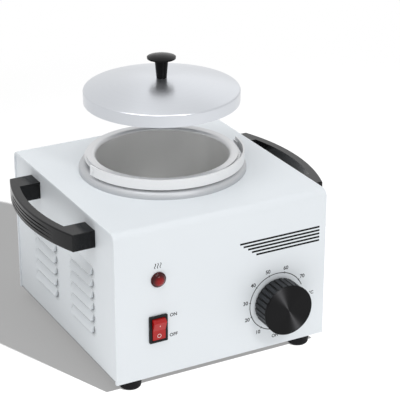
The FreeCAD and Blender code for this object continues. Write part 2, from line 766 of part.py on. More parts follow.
def make_heater():
    inner = well_radius + s.heater_gap
    outer = inner + s.heater_gauge
    low = well_floor + s.heater_lift
    body = place(new_body("heater_band"), 0, pot_y, low)
    turn_solid(body, [(inner, 0), (outer, 0), (outer, s.heater_height), (inner, s.heater_height)])
    half = s.heater_split / 2
    sketch = new_sketch(body, "XY_Plane")
    for sx in (-1, 1):
        rectangle(sketch, sx * half, sx * (half + s.heater_ear_gauge),
                  inner + s.heater_gauge / 2, outer + s.heater_ear)
    extrude(body, "Pad", sketch, s.heater_height)
    sketch = new_sketch(body, "XY_Plane", s.heater_height + PAST)
    rectangle(sketch, -half, half, inner - PAST, outer + PAST)
    extrude(body, "Pocket", sketch, s.heater_height + 2 * PAST)
    sketch = new_sketch(body, "YZ_Plane", half + s.heater_ear_gauge + PAST)
    ear_y = outer + s.heater_ear / 2 + s.screw_radius
    circle(sketch, ear_y, s.heater_height / 2, screw_hole)
    extrude(body, "Pocket", sketch, s.heater_split + 2 * s.heater_ear_gauge + 2 * PAST)

    length = s.heater_split + 2 * s.heater_ear_gauge + s.nut_height
    bolt = screw("heater_bolt", length, -half - s.heater_ear_gauge, pot_y + ear_y,
                 low + s.heater_height / 2, TO_RIGHT)
    group("heater_clamp_screw", [bolt])
    group("heater_clamp_nut", [nut("heater_nut", half + s.heater_ear_gauge, pot_y + ear_y,
                                   low + s.heater_height / 2, TO_RIGHT)])

    body = place(new_body("insulation_wrap"), 0, pot_y, low - (s.wrap_height - s.heater_height) / 2)
    wrap_in = outer + s.wrap_gap
    wrap_out = wrap_in + s.wrap_thickness
    turn_solid(body, [(wrap_in, 0), (wrap_out, 0), (wrap_out, s.wrap_height), (wrap_in, s.wrap_height)])
    sketch = new_sketch(body, "XY_Plane", s.wrap_height + PAST)
    rectangle(sketch, -s.wrap_opening / 2, s.wrap_opening / 2, 0, wrap_out + PAST)
    extrude(body, "Pocket", sketch, s.wrap_height + 2 * PAST)


# Pot with its ears and bail

seat_bore = s.pot_bore + s.rim_width
lid_radius = seat_bore + s.lid_fit + s.lid_wall
seat_radius = lid_radius + s.seat_margin
seat_z = rim_top - s.seat_depth
ear_in = lid_radius + s.ear_gap
ear_out = ear_in + s.ear_gauge
bail_in = ear_out + s.bail_gap
bail_out = bail_in + s.bail_gauge
pivot_y = pot_y - s.bail_pivot_set
pivot_z = rim_top - s.bail_pivot_drop


def make_pot():
    body = place(new_body("wax_pot"), 0, pot_y, 0)
    foot = well_floor + s.pot_stand_gap
    outer = s.pot_bore + s.pot_wall
    under = rim_top - s.pot_wall
    flare_out = s.pot_flare - s.pot_wall
    inner_corner = s.pot_corner - s.pot_wall
    turn_solid(body, [(0, foot), (outer - s.pot_corner, foot, s.pot_corner, LEFT),
                      (outer, foot + s.pot_corner),
                      (outer, under - flare_out, flare_out, RIGHT),
                      (outer + flare_out, under),
                      (seat_bore - s.pot_wall, under), (seat_bore - s.pot_wall, seat_z - s.pot_wall),
                      (seat_radius, seat_z - s.pot_wall), (seat_radius, seat_z),
                      (seat_bore, seat_z), (seat_bore, rim_top),
                      (s.pot_bore + s.pot_flare, rim_top, s.pot_flare, LEFT),
                      (s.pot_bore, rim_top - s.pot_flare),
                      (s.pot_bore, foot + s.pot_corner, inner_corner, RIGHT),
                      (s.pot_bore - inner_corner, foot + s.pot_wall), (0, foot + s.pot_wall)])


def make_bail():
    arm_top = seat_z - s.pot_wall
    arm_low = arm_top - s.ear_gauge
    half = s.ear_width / 2
    for label, side in (("left_pot_ear", -1), ("right_pot_ear", 1)):
        body = new_body(label)
        sketch = new_sketch(body, "XZ_Plane", -pivot_y)
        root = s.pot_bore + s.pot_wall + s.pot_flare
        top = pivot_z + s.bail_pin_radius + s.ear_over_pin
        outline(sketch, [(side * root, arm_low), (side * ear_out, arm_low), (side * ear_out, top),
                         (side * ear_in, top), (side * ear_in, arm_top), (side * root, arm_top)])
        extrude(body, "Pad", sketch, s.ear_width, both_ways=True)
        sketch = new_sketch(body, "YZ_Plane", side * (ear_out + PAST))
        circle(sketch, pivot_y, pivot_z, s.bail_pin_radius)
        extrude(body, "Pocket", sketch, s.ear_gauge + 2 * PAST, other_way=side < 0)

    body = new_body("pot_bail")
    sketch = new_sketch(body, "XY_Plane", pivot_z)
    end_y = pot_y - s.bail_end_set
    end_in, end_out = [(r * r - s.bail_end_set * s.bail_end_set).root() for r in (bail_in, bail_out)]
    outline(sketch, [(-end_out, end_y, bail_out, LEFT), (0, pot_y - bail_out, bail_out, LEFT),
                     (end_out, end_y), (end_in, end_y, bail_in, RIGHT),
                     (0, pot_y - bail_in, bail_in, RIGHT), (-end_in, end_y)])
    extrude(body, "Pad", sketch, s.bail_width, both_ways=True)
    sketch = new_sketch(body, "YZ_Plane")
    circle(sketch, pivot_y, pivot_z, s.bail_pin_radius + s.bail_pin_fit)
    extrude(body, "Pocket", sketch, 2 * bail_out + 2 * PAST, both_ways=True)

    # The heads just clear the strip where it bulges out most under them.
    rivets = []
    head_set = s.bail_pivot_set - s.bail_head_radius
    grip = (bail_out * bail_out - head_set * head_set).root() + s.bail_pin_fit - ear_in
    for name, side, turn in (("left", -1, TO_LEFT), ("right", 1, TO_RIGHT)):
        shank = rod(f"{name}_rivet_shank", s.bail_pin_radius, grip, 0, 0, 0)
        head = rod(f"{name}_rivet_head", s.bail_head_radius, s.bail_head_height, 0, 0, grip)
        rivets.append(place(fuse(f"{name}_rivet", shank, head), side * ear_in, pivot_y, pivot_z, turn))
    group("bail_rivets", rivets)


# Lid, raised above its seat

lid_bottom = seat_z + s.lid_seat_gap + s.lid_raised
lid_top = lid_bottom + s.lid_skirt + s.lid_rise


def make_lid():
    body = place(new_body("lid"), 0, pot_y, lid_bottom)
    # The rounded shoulder runs smoothly into the dome
    crown = s.lid_skirt + s.lid_rise
    inner = lid_radius - s.lid_wall
    shoulder_x = lid_radius - s.lid_shoulder
    shoulder_z = s.lid_skirt - s.lid_shoulder
    rise = crown - shoulder_z
    dome = ((shoulder_x * shoulder_x + rise * rise - s.lid_shoulder * s.lid_shoulder)
            / (2 * (rise - s.lid_shoulder)))
    dome_z = crown - dome
    hole = s.screw_radius + s.screw_clearance

    def on_dome(radius):
        share = radius / (dome - s.lid_shoulder)
        return shoulder_x * share, dome_z + (shoulder_z - dome_z) * share

    def at_hole(radius):
        return hole, dome_z + (radius * radius - hole * hole).root()

    under = dome - s.lid_wall
    turn_solid(body, [(inner, 0), (lid_radius, 0),
                      (lid_radius, shoulder_z, s.lid_shoulder, LEFT),
                      (*on_dome(dome), dome, LEFT), at_hole(dome),
                      (*at_hole(under), under, RIGHT),
                      (*on_dome(under), s.lid_shoulder - s.lid_wall, RIGHT),
                      (inner, shoulder_z)])

    body = place(new_body("lid_knob"), 0, pot_y, lid_top)
    cap_low = s.lid_stem_height
    cap_edge = cap_low + s.lid_cap_flare
    cap_high = cap_edge + s.lid_cap_edge
    cap_rise = s.lid_knob_height - cap_high
    cap_dome = (s.lid_knob_radius * s.lid_knob_radius + cap_rise * cap_rise) / (2 * cap_rise)
    bore = s.screw_radius
    turn_solid(body, [(bore, 0), (s.lid_stem_radius, 0), (s.lid_stem_top, cap_low),
                      (s.lid_knob_radius, cap_edge), (s.lid_knob_radius, cap_high, cap_dome, LEFT),
                      (0, s.lid_knob_height), (0, s.small_screw_length + PAST),
                      (bore, s.small_screw_length + PAST)])
    washer_low = lid_top - s.lid_wall - s.washer_gap - s.washer_gauge
    body = place(new_body("lid_washer"), 0, pot_y, washer_low)
    turn_solid(body, [(hole, 0), (s.washer_radius, 0), (s.washer_radius, s.washer_gauge),
                      (hole, s.washer_gauge)])
    group("lid_screw", [screw("lid_knob_screw", s.small_screw_length + lid_top - washer_low,
                              0, pot_y, washer_low)])


# Control knob, thermostat and its bulb

def make_knob():
    knob_out = s.knob_reach - s.disc_thickness
    bore = s.shaft_radius + s.shaft_fit
    web = knob_out - s.knob_web
    inner = s.knob_radius - s.knob_wall
    hub_foot = s.knob_stand + PAST
    seat = hub_foot + s.shaft_seat
    body = place(new_body("control_knob"), s.knob_place_x, front_y, knob_z, OUT_FRONT)
    turn_solid(body, [(bore, hub_foot), (s.knob_hub, hub_foot), (s.knob_hub, web), (inner, web),
                      (inner, s.knob_stand), (s.knob_radius, s.knob_stand), (s.knob_radius, knob_out),
                      (0, knob_out), (0, seat), (bore, seat)])
    sketch = new_sketch(body, "XY_Plane", knob_out + PAST)
    circle(sketch, 0, s.knob_radius + s.knob_flute_radius / 3, s.knob_flute_radius)
    flute = extrude(body, "Pocket", sketch, knob_out + 2 * PAST)
    flutes = body.newObject("PartDesign::PolarPattern", "control_knob_flutes")
    flutes.Originals = [flute]
    flutes.Axis = (sketch, ["N_Axis"])
    flutes.Angle = 360
    flutes.setExpression("Occurrences", s.knob_flutes.text)
    body.Tip = flutes

    body = place(new_body("knob_face_disc"), s.knob_place_x, front_y, knob_z, OUT_FRONT)
    turn_solid(body, [(0, knob_out), (s.disc_radius, knob_out), (s.disc_radius, s.knob_reach),
                      (0, s.knob_reach)])
    round_edges(body, s.disc_round, ring_at((s.disc_radius, s.knob_reach)))

    shaft_end = -s.steel_gauge - s.thermostat_depth / 2
    shaft = rod("thermostat_shaft", s.shaft_radius, seat - s.shaft_fit - shaft_end,
                s.knob_place_x, front_y - shaft_end, knob_z, OUT_FRONT)
    parts.append(shaft)


def make_thermostat():
    body = place(new_body("thermostat_body"), s.knob_place_x, front_y, knob_z, OUT_FRONT)
    half_x, half_y = s.thermostat_width / 2, s.thermostat_height / 2
    sketch = new_sketch(body, "XY_Plane", -s.steel_gauge)
    rectangle(sketch, -half_x, half_x, -half_y, half_y)
    extrude(body, "Pad", sketch, s.thermostat_depth, other_way=True)
    sketch = new_sketch(body, "XY_Plane", -s.steel_gauge)
    circle(sketch, 0, 0, s.bush_radius)
    extrude(body, "Pad", sketch, s.steel_gauge + s.knob_stand)
    sketch = new_sketch(body, "XY_Plane", s.knob_stand + PAST)
    circle(sketch, 0, 0, s.shaft_radius + s.shaft_fit)
    depth = s.knob_stand + PAST + s.steel_gauge + s.thermostat_depth / 2 + PAST
    extrude(body, "Pocket", sketch, depth)
    sketch = new_sketch(body, "XY_Plane", PAST)
    for sx in (-1, 1):
        circle(sketch, sx * s.thermostat_screw_pitch / 2, 0, s.screw_radius)
    extrude(body, "Pocket", sketch, s.small_screw_length + 2 * PAST)
    # Two spade blades at the back
    sketch = new_sketch(body, "XY_Plane", -s.steel_gauge - s.thermostat_depth)
    for sx in (-1, 1):
        x = sx * s.blade_pitch
        rectangle(sketch, x - s.blade_gauge / 2, x + s.blade_gauge / 2, -s.blade_width / 2, s.blade_width / 2)
    extrude(body, "Pad", sketch, s.blade_length, other_way=True)
    group("thermostat_screws", [screw(f"thermostat_screw_{i}", s.small_screw_length, x, front_y, knob_z,
                                      OUT_BACK) for i, x in enumerate(thermostat_screw_xs, 1)])


bulb_z = well_floor - s.well_wall - s.bulb_gap - s.bulb_radius


# Tube along straight runs that are joined by bends.
def tube_shape(points, radius, bend_radius):
    spots = [Vector(*(dim(v).value for v in point)) for point in points]
    edges = []
    start = spots[0]
    for before, corner, after in zip(spots, spots[1:], spots[2:]):
        back, on = (before - corner).normalize(), (after - corner).normalize()
        half_turn = back.getAngle(on) / 2
        room = 0.45 * min((before - corner).Length, (after - corner).Length)
        reach = min(bend_radius / abs(sin(half_turn) / cos(half_turn)), room)
        sweep = reach * sin(half_turn) / cos(half_turn)
        first, last = corner + back * reach, corner + on * reach
        centre = corner + (back + on).normalize() * (sweep ** 2 + reach ** 2) ** 0.5
        middle = centre + (corner - centre).normalize() * sweep
        edges += [Part.LineSegment(start, first).toShape(), Part.Arc(first, middle, last).toShape()]
        start = last
    edges.append(Part.LineSegment(start, spots[-1]).toShape())
    path = Part.Wire(edges)
    section = Part.Wire([Part.Circle(spots[0], spots[1] - spots[0], radius).toShape()])
    return path.makePipeShell([section], True, False)


def make_tube(label, points, radius, bend_radius):
    tube = doc.addObject("Part::Feature", label)
    tube.Shape = tube_shape(points, radius.value, bend_radius.value)
    parts.append(tube)
    return tube


def make_bulb():
    low_y = pot_y - s.bulb_length / 2
    parts.append(rod("thermostat_bulb", s.bulb_radius, s.bulb_length,
                     s.bulb_place_x, low_y, bulb_z, OUT_BACK))
    tail_y = front_y + s.steel_gauge + s.thermostat_depth
    tail_z = knob_z - s.thermostat_height / 2 + 2 * s.capillary_radius + PAST
    make_tube("thermostat_capillary", [
        (s.knob_place_x, tail_y, tail_z), (s.knob_place_x, tail_y + s.wire_slack, tail_z),
        (s.knob_place_x - s.wire_slack, tail_y + 2 * s.wire_slack, bulb_z - s.wire_slack),
        (s.bulb_place_x, low_y - s.wire_slack, bulb_z),
        (s.bulb_place_x, low_y, bulb_z)], s.capillary_radius, s.wire_bend)
    make_clip("bulb_clip", s.bulb_place_x, bulb_z, s.bulb_radius)


# Strap that holds a round piece against the underside of the well.
def make_clip(label, x, z, radius):
    body = new_body(label)
    sketch = new_sketch(body, "XZ_Plane", -pot_y)
    top = well_floor - s.well_wall
    low = top - s.clip_gauge
    grip = radius + s.bulb_gap
    outer = grip + s.clip_gauge
    wing = outer + s.clip_width
    outline(sketch, [(x - wing, top), (x - wing, low), (x - outer, low),
                     (x - outer, z, outer, LEFT), (x, z - outer, outer, LEFT),
                     (x + outer, z), (x + outer, low), (x + wing, low),
                     (x + wing, top), (x + grip, top), (x + grip, z, grip, RIGHT),
                     (x, z - grip, grip, RIGHT), (x - grip, z), (x - grip, top)])
    extrude(body, "Pad", sketch, s.clip_width, both_ways=True)


# Rocker switch

switch_inner_x = s.switch_width / 2 - s.switch_frame_x
switch_inner_z = s.switch_height / 2 - s.switch_frame_z


def make_switch():
    body = place(new_body("switch_housing"), s.switch_place_x, front_y, switch_z, OUT_FRONT)
    half_x, half_y = s.switch_width / 2, s.switch_height / 2
    sketch = new_sketch(body, "XY_Plane")
    rectangle(sketch, -half_x, half_x, -half_y, half_y)
    extrude(body, "Pad", sketch, s.switch_bezel)
    sketch = new_sketch(body, "XY_Plane")
    wall_x, wall_y = switch_inner_x + s.switch_body_wall, switch_inner_z + s.switch_body_wall
    rectangle(sketch, -wall_x, wall_x, -wall_y, wall_y)
    extrude(body, "Pad", sketch, s.switch_depth, other_way=True)
    sketch = new_sketch(body, "XY_Plane", s.switch_bezel + PAST)
    rectangle(sketch, -switch_inner_x, switch_inner_x, -switch_inner_z, switch_inner_z)
    extrude(body, "Pocket", sketch, s.switch_bezel + PAST + s.switch_depth / 2)
    sketch = new_sketch(body, "YZ_Plane")
    circle(sketch, 0, -s.rocker_pivot_set, s.rocker_pin_radius + s.rocker_pin_fit)
    extrude(body, "Pocket", sketch, 2 * (switch_inner_x + s.rocker_pin_length), both_ways=True)
    round_edges(body, s.switch_bezel / 2, upright_at(*[(sx * half_x, sy * half_y) for sx in (-1, 1)
                                                       for sy in (-1, 1)]))

    # Rocker seen from the side, in its level pose: local x is up, local y is out.
    body = new_body("switch_rocker")
    sweep = switch_inner_z - s.rocker_gap
    back_half = (sweep * sweep - s.rocker_depth * s.rocker_depth).root()
    face_half = (sweep * sweep - s.rocker_face * s.rocker_face).root()
    sketch = new_sketch(body, "XY_Plane")
    outline(sketch, [(-back_half, -s.rocker_depth), (back_half, -s.rocker_depth, sweep, LEFT),
                     (face_half, s.rocker_face), (0, s.rocker_face - s.rocker_dip),
                     (-face_half, s.rocker_face, sweep, LEFT)])
    extrude(body, "Pad", sketch, 2 * (switch_inner_x - s.rocker_gap), both_ways=True)
    sketch = new_sketch(body, "XY_Plane")
    circle(sketch, 0, 0, s.rocker_pin_radius)
    pin_span = 2 * (switch_inner_x + s.rocker_pin_length - s.rocker_pin_fit)
    extrude(body, "Pad", sketch, pin_span, both_ways=True)
    level = Rotation(Vector(0, 0, 1), Vector(0, -1, 0), Vector(1, 0, 0), "ZXY")
    place(body, s.switch_place_x, front_y + s.rocker_pivot_set, switch_z,
          Rotation(Vector(1, 0, 0), s.rocker_tilt.value) * level)

    blades = []
    back = front_y + s.switch_depth
    for i, step in enumerate((-1, 0, 1), 1):
        z = switch_z + step * s.blade_pitch
        x = s.switch_place_x
        blades.append(block(f"switch_blade_{i}", x - s.blade_width / 2, x + s.blade_width / 2, back,
                            back + s.blade_length, z - s.blade_gauge / 2, z + s.blade_gauge / 2))
    group("switch_terminals", blades)


def make_lamp():
    body = place(new_body("lamp_body"), s.lamp_place_x, front_y, lamp_z, OUT_FRONT)
    bore = s.lamp_barrel_radius - s.lamp_barrel_wall
    floor = -s.lamp_barrel_length + 2 * s.lamp_barrel_wall
    recess = s.lens_radius + s.lens_fit
    step = s.lamp_rim_height / 2
    turn_solid(body, [(0, -s.lamp_barrel_length), (s.lamp_barrel_radius, -s.lamp_barrel_length),
                      (s.lamp_barrel_radius, 0), (s.lamp_rim_radius, 0),
                      (s.lamp_rim_radius, s.lamp_rim_height), (recess, s.lamp_rim_height),
                      (recess, step), (bore, step), (bore, floor), (0, floor)])
    round_edges(body, s.lamp_rim_height / 3, ring_at((s.lamp_rim_radius, s.lamp_rim_height)))

    body = place(new_body("lamp_lens"), s.lamp_place_x, front_y, lamp_z, OUT_FRONT)
    edge = s.lamp_rim_height
    rise = s.lens_height
    dome = (s.lens_radius * s.lens_radius + rise * rise) / (2 * rise)
    turn_solid(body, [(0, step - s.lens_plug), (bore - s.lens_fit, step - s.lens_plug),
                      (bore - s.lens_fit, step), (s.lens_radius, step),
                      (s.lens_radius, edge, dome, LEFT), (0, edge + rise)])

    body = place(new_body("lamp_clip"), s.lamp_place_x, front_y + s.steel_gauge, lamp_z, OUT_FRONT)
    turn_solid(body, [(s.lamp_barrel_radius + s.lens_fit, -s.lamp_clip_gauge),
                      (s.lamp_clip_radius, -s.lamp_clip_gauge),
                      (s.lamp_clip_radius, 0), (s.lamp_barrel_radius + s.lens_fit, 0)])


# Mains inlet; its local y points down

def make_inlet():
    body = place(new_body("mains_inlet"), s.inlet_place_x, back_y, inlet_z, OUT_BACK)
    half_x, half_y = s.inlet_width / 2, s.inlet_height / 2
    sketch = new_sketch(body, "XY_Plane")
    rectangle(sketch, -half_x, half_x, -half_y, half_y)
    extrude(body, "Pad", sketch, s.inlet_reach)
    sketch = new_sketch(body, "XY_Plane")
    rectangle(sketch, -s.inlet_body_width / 2, s.inlet_body_width / 2,
              -s.inlet_body_height / 2, s.inlet_body_height / 2)
    extrude(body, "Pad", sketch, s.inlet_depth, other_way=True)
    sketch = new_sketch(body, "XY_Plane", s.inlet_reach + PAST)
    mouth_x, mouth_y, corner = s.inlet_mouth_width / 2, s.inlet_mouth_height / 2, s.inlet_mouth_corner
    outline(sketch, [(-mouth_x, mouth_y), (-mouth_x, corner - mouth_y), (corner - mouth_x, -mouth_y),
                     (mouth_x - corner, -mouth_y), (mouth_x, corner - mouth_y), (mouth_x, mouth_y)])
    extrude(body, "Pocket", sketch, s.inlet_mouth_depth + PAST)
    screw_x = s.inlet_screw_pitch / 2
    head_well = s.screw_head_height + s.screw_clearance
    sketch = new_sketch(body, "XY_Plane", s.inlet_reach + PAST)
    for sx in (-1, 1):
        circle(sketch, sx * screw_x, 0, screw_hole)
    extrude(body, "Pocket", sketch, s.inlet_reach + 2 * PAST)
    sketch = new_sketch(body, "XY_Plane", s.inlet_reach + PAST)
    for sx in (-1, 1):
        circle(sketch, sx * screw_x, 0, s.screw_head_radius + s.screw_clearance)
    extrude(body, "Pocket", sketch, head_well + PAST)
    floor_depth = s.inlet_mouth_depth - s.inlet_reach
    sketch = new_sketch(body, "XY_Plane", PAST - floor_depth)
    for x, y in inlet_pins:
        rectangle(sketch, x - s.pin_gauge / 2, x + s.pin_gauge / 2, y - s.pin_width / 2, y + s.pin_width / 2)
    extrude(body, "Pocket", sketch, s.inlet_depth - floor_depth + 2 * PAST)
    round_edges(body, s.inlet_round, upright_at(*[(sx * half_x, sy * half_y) for sx in (-1, 1)
                                                  for sy in (-1, 1)]))

    pin_tip = back_y + s.inlet_reach - s.pin_in
    pin_tail = back_y - s.inlet_depth - s.pin_tail
    pins = [block(f"inlet_pin_{i}",
                  s.inlet_place_x + x - s.pin_gauge / 2, s.inlet_place_x + x + s.pin_gauge / 2,
                  pin_tail, pin_tip, inlet_z - y - s.pin_width / 2, inlet_z - y + s.pin_width / 2)
            for i, (x, y) in enumerate(inlet_pins, 1)]
    group("inlet_pins", pins)
    head_seat = back_y + s.inlet_reach - head_well
    group("inlet_screws", [screw(f"inlet_screw_{i}", s.small_screw_length, s.inlet_place_x + sx * screw_x,
                                 head_seat, inlet_z, OUT_FRONT) for i, sx in enumerate((-1, 1), 1)])


inlet_pins = [(-s.pin_pitch / 2, dim(0)), (s.pin_pitch / 2, dim(0)), (dim(0), -s.pin_drop)]


# Wiring, thermal fuse and earth screw

def make_wiring():
    floor_z = flange_top + s.nut_height + 3 * s.wire_radius
    tail_y = back_y - s.inlet_depth - s.pin_tail
    live_x, neutral_x = s.inlet_place_x + s.pin_pitch / 2, s.inlet_place_x - s.pin_pitch / 2
    corner_x = panel_x - s.panel_gauge - s.flange_width / 2
    blade_y = front_y + s.switch_depth + s.blade_length
    spade_y = front_y + s.steel_gauge + s.thermostat_depth + s.blade_length
    fuse_z = well_floor - s.well_wall - s.bulb_gap - s.fuse_radius
    fuse_y = pot_y - s.fuse_length / 2
    heater_y = pot_y + well_radius + s.heater_gap + s.heater_gauge + s.heater_ear
    heater_x = s.heater_split / 2 + s.heater_ear_gauge / 2
    heater_z = well_floor + s.heater_lift + 2 * s.wire_radius

    parts.append(rod("thermal_fuse", s.fuse_radius, s.fuse_length, s.fuse_place_x, fuse_y, fuse_z, OUT_BACK))
    make_clip("fuse_clip", s.fuse_place_x, fuse_z, s.fuse_radius)
    earth_y = back_y - s.earth_inset_y
    group("earth_screw", [screw("earth_stud", s.base_gauge + 3 * s.wire_radius, s.earth_place_x,
                                earth_y, base_top + 2 * s.wire_radius, HEAD_DOWN)])
    slack = s.wire_slack
    switch_x = s.switch_place_x
    low_blade_z = switch_z - s.blade_pitch
    spade_x = s.knob_place_x - s.blade_pitch
    far_spade_x = s.knob_place_x + s.blade_pitch
    loop_y = heater_y + s.wire_bend
    routes = {
        "live_wire": [
            (live_x, tail_y, inlet_z), (live_x, tail_y - slack, inlet_z),
            (corner_x, tail_y - 3 * slack, floor_z + slack / 2),
            (corner_x, front_y + 5 * slack, floor_z + slack / 2),
            (s.knob_place_x - slack, front_y + 4 * slack, floor_z), (switch_x, front_y + 4 * slack, floor_z),
            (switch_x, blade_y + 1.5 * slack, low_blade_z), (switch_x, blade_y, low_blade_z)],
        "switched_wire": [
            (switch_x, blade_y, switch_z), (switch_x, blade_y + slack, switch_z),
            (switch_x + 2 * slack, blade_y + slack, low_blade_z - slack / 2),
            (spade_x - 2 * slack, spade_y + slack, low_blade_z - slack / 2),
            (spade_x, spade_y + slack, knob_z - slack / 4), (spade_x, spade_y, knob_z - slack / 4)],
        "heater_wire": [
            (far_spade_x, spade_y, knob_z - slack / 4), (far_spade_x, spade_y + slack, knob_z - slack / 4),
            (s.knob_place_x, spade_y + 2 * slack, fuse_z - slack),
            (s.fuse_place_x, fuse_y - 2 * slack, fuse_z),
            (s.fuse_place_x, fuse_y, fuse_z)],
        "fuse_wire": [
            (s.fuse_place_x, fuse_y + s.fuse_length, fuse_z), (s.fuse_place_x, heater_y - slack, fuse_z),
            (-heater_x - slack / 2, loop_y, fuse_z), (-heater_x, loop_y, heater_z),
            (-heater_x, heater_y, heater_z)],
        "neutral_wire": [
            (neutral_x, tail_y, inlet_z), (neutral_x, tail_y - slack / 2, inlet_z),
            (heater_x + slack, loop_y, inlet_z + slack / 2), (heater_x, loop_y, heater_z),
            (heater_x, heater_y, heater_z)],
        "earth_wire": [
            (s.inlet_place_x, tail_y, inlet_z + s.pin_drop),
            (s.inlet_place_x, tail_y - slack / 2, inlet_z + s.pin_drop),
            (s.inlet_place_x - slack, earth_y, base_top + s.wire_radius + slack / 2),
            (s.earth_place_x + slack, earth_y, base_top + s.wire_radius),
            (s.earth_place_x + s.screw_radius, earth_y, base_top + s.wire_radius)],
    }
    for label, points in routes.items():
        make_tube(label, points, s.wire_radius, s.wire_bend)
    lamp_back = front_y + s.lamp_barrel_length
    blade_z = switch_z + s.blade_pitch
    leads = []
    for x in (s.lamp_place_x - s.lamp_tail_gap, s.lamp_place_x + s.lamp_tail_gap):
        leads.append(tube_shape(
            [(x, lamp_back, lamp_z), (x, lamp_back + slack, lamp_z), (x, blade_y + slack, blade_z + slack),
             (x, blade_y + slack, blade_z), (x, blade_y, blade_z)],
            s.lamp_tail_radius.value, s.wire_bend.value))
    pair = doc.addObject("Part::Feature", "lamp_leads")
    pair.Shape = Part.makeCompound(leads)
    parts.append(pair)


make_shell()
make_side_panel("left_side_panel", -1)
make_side_panel("right_side_panel", 1)
make_base()
make_feet()
make_handle("left_handle", -1)
make_handle("right_handle", 1)
make_handle_screws()
make_well()
make_heater()
make_pot()
make_bail()
make_lid()
make_knob()
make_thermostat()
make_bulb()
make_switch()
make_lamp()
make_inlet()
make_wiring()
doc.recompute()

# Every piece has to be whole before any is written.
for item in doc.Objects:
    if {"Invalid", "Error"} & set(item.State):
        raise RuntimeError(f"{item.Label} failed: {item.State}")
    if item.TypeId == "PartDesign::Pocket" and item.BaseFeature.Shape.Volume - item.Shape.Volume < 0.01:
        raise RuntimeError(f"{item.Label} cuts nothing")
for part in parts:
    if part.Shape.isNull() or not part.Shape.isValid() or not part.Shape.Solids:
        raise RuntimeError(f"{part.Label} is not a sound solid")

os.makedirs("parts", exist_ok=True)
for part in parts:
    part.Shape.exportStep(f"parts/{part.Label}.step")
print(f"{len(parts)} pieces written")
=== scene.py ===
from math import atan2, cos, pi, radians, sin

import bmesh
import bpy
from mathutils import Matrix, Vector


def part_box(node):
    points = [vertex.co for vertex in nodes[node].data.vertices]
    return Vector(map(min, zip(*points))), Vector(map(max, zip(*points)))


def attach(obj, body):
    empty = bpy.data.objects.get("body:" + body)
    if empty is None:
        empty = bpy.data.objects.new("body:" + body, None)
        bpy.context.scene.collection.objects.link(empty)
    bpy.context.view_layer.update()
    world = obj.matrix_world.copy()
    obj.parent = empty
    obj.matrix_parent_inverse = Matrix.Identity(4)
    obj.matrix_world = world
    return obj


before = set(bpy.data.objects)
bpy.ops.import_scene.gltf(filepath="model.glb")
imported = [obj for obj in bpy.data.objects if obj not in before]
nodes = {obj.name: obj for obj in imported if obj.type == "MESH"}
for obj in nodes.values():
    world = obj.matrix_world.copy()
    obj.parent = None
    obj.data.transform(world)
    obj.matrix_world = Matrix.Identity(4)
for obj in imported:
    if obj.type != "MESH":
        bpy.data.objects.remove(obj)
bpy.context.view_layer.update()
mm = 0.001
mergeReach = 1e-7  # points nearer than this, in metres, are one
print("frame loaded:", len(nodes), "nodes")

# places on the object, in millimetres: the front panel, the pot's axis and the knob's axis
casing = {"frontY": -100.75, "potY": 15.65, "knobX": 54.9, "knobZ": 55.1}


# small helpers

def hexColour(code):  # sRGB hex to linear
    parts = [int(code[i:i + 2], 16) / 255 for i in (1, 3, 5)]
    return [p / 12.92 if p <= 0.04045 else ((p + 0.055) / 1.055) ** 2.4 for p in parts] + [1.0]


def addNode(tree, kind, inputs=None, **settings):
    node = tree.nodes.new(kind)
    for key, value in settings.items():
        setattr(node, key, value)
    for key, value in (inputs or {}).items():
        if isinstance(value, bpy.types.NodeSocket):
            tree.links.new(value, node.inputs[key])
        else:
            node.inputs[key].default_value = value
    return node


def newMaterial(name, **constants):
    material = bpy.data.materials.new(name)
    material.use_nodes = True
    tree = material.node_tree
    shader = tree.nodes["Principled BSDF"]
    for key, value in constants.items():
        shader.inputs[key.replace("_", " ")].default_value = value
    coords = addNode(tree, "ShaderNodeTexCoord").outputs["Object"]
    return material, tree, shader, coords


def finishPiece(name, mesh, material, body):
    piece = bpy.data.objects.new(name, mesh)
    bpy.context.scene.collection.objects.link(piece)
    mesh.materials.append(material)
    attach(piece, body)
    return piece


def meshOf(bm, name):
    bmesh.ops.remove_doubles(bm, verts=bm.verts, dist=mergeReach)
    bmesh.ops.recalc_face_normals(bm, faces=bm.faces)
    mesh = bpy.data.meshes.new(name)
    bm.to_mesh(mesh)
    bm.free()
    return mesh


def dress(material, *names):
    for name in names:
        nodes[name].data.materials.clear()
        nodes[name].data.materials.append(material)


# materials, with their sizes in millimetres

# powder: its colours and orange peel, and the colour, reach and range of a painted shade under the louvre
# lips
powder = {"dark": "#e1e6ea", "light": "#e6ebef", "cloud": 90,
          "peel": 2.4, "peelStrength": 0.06, "peelDepth": 0.1,
          "paintedShade": "#4c5155", "occlusion": 6, "fullShadeAt": 0.74, "unshaded": 0.99, "flatPanel": 0.98}
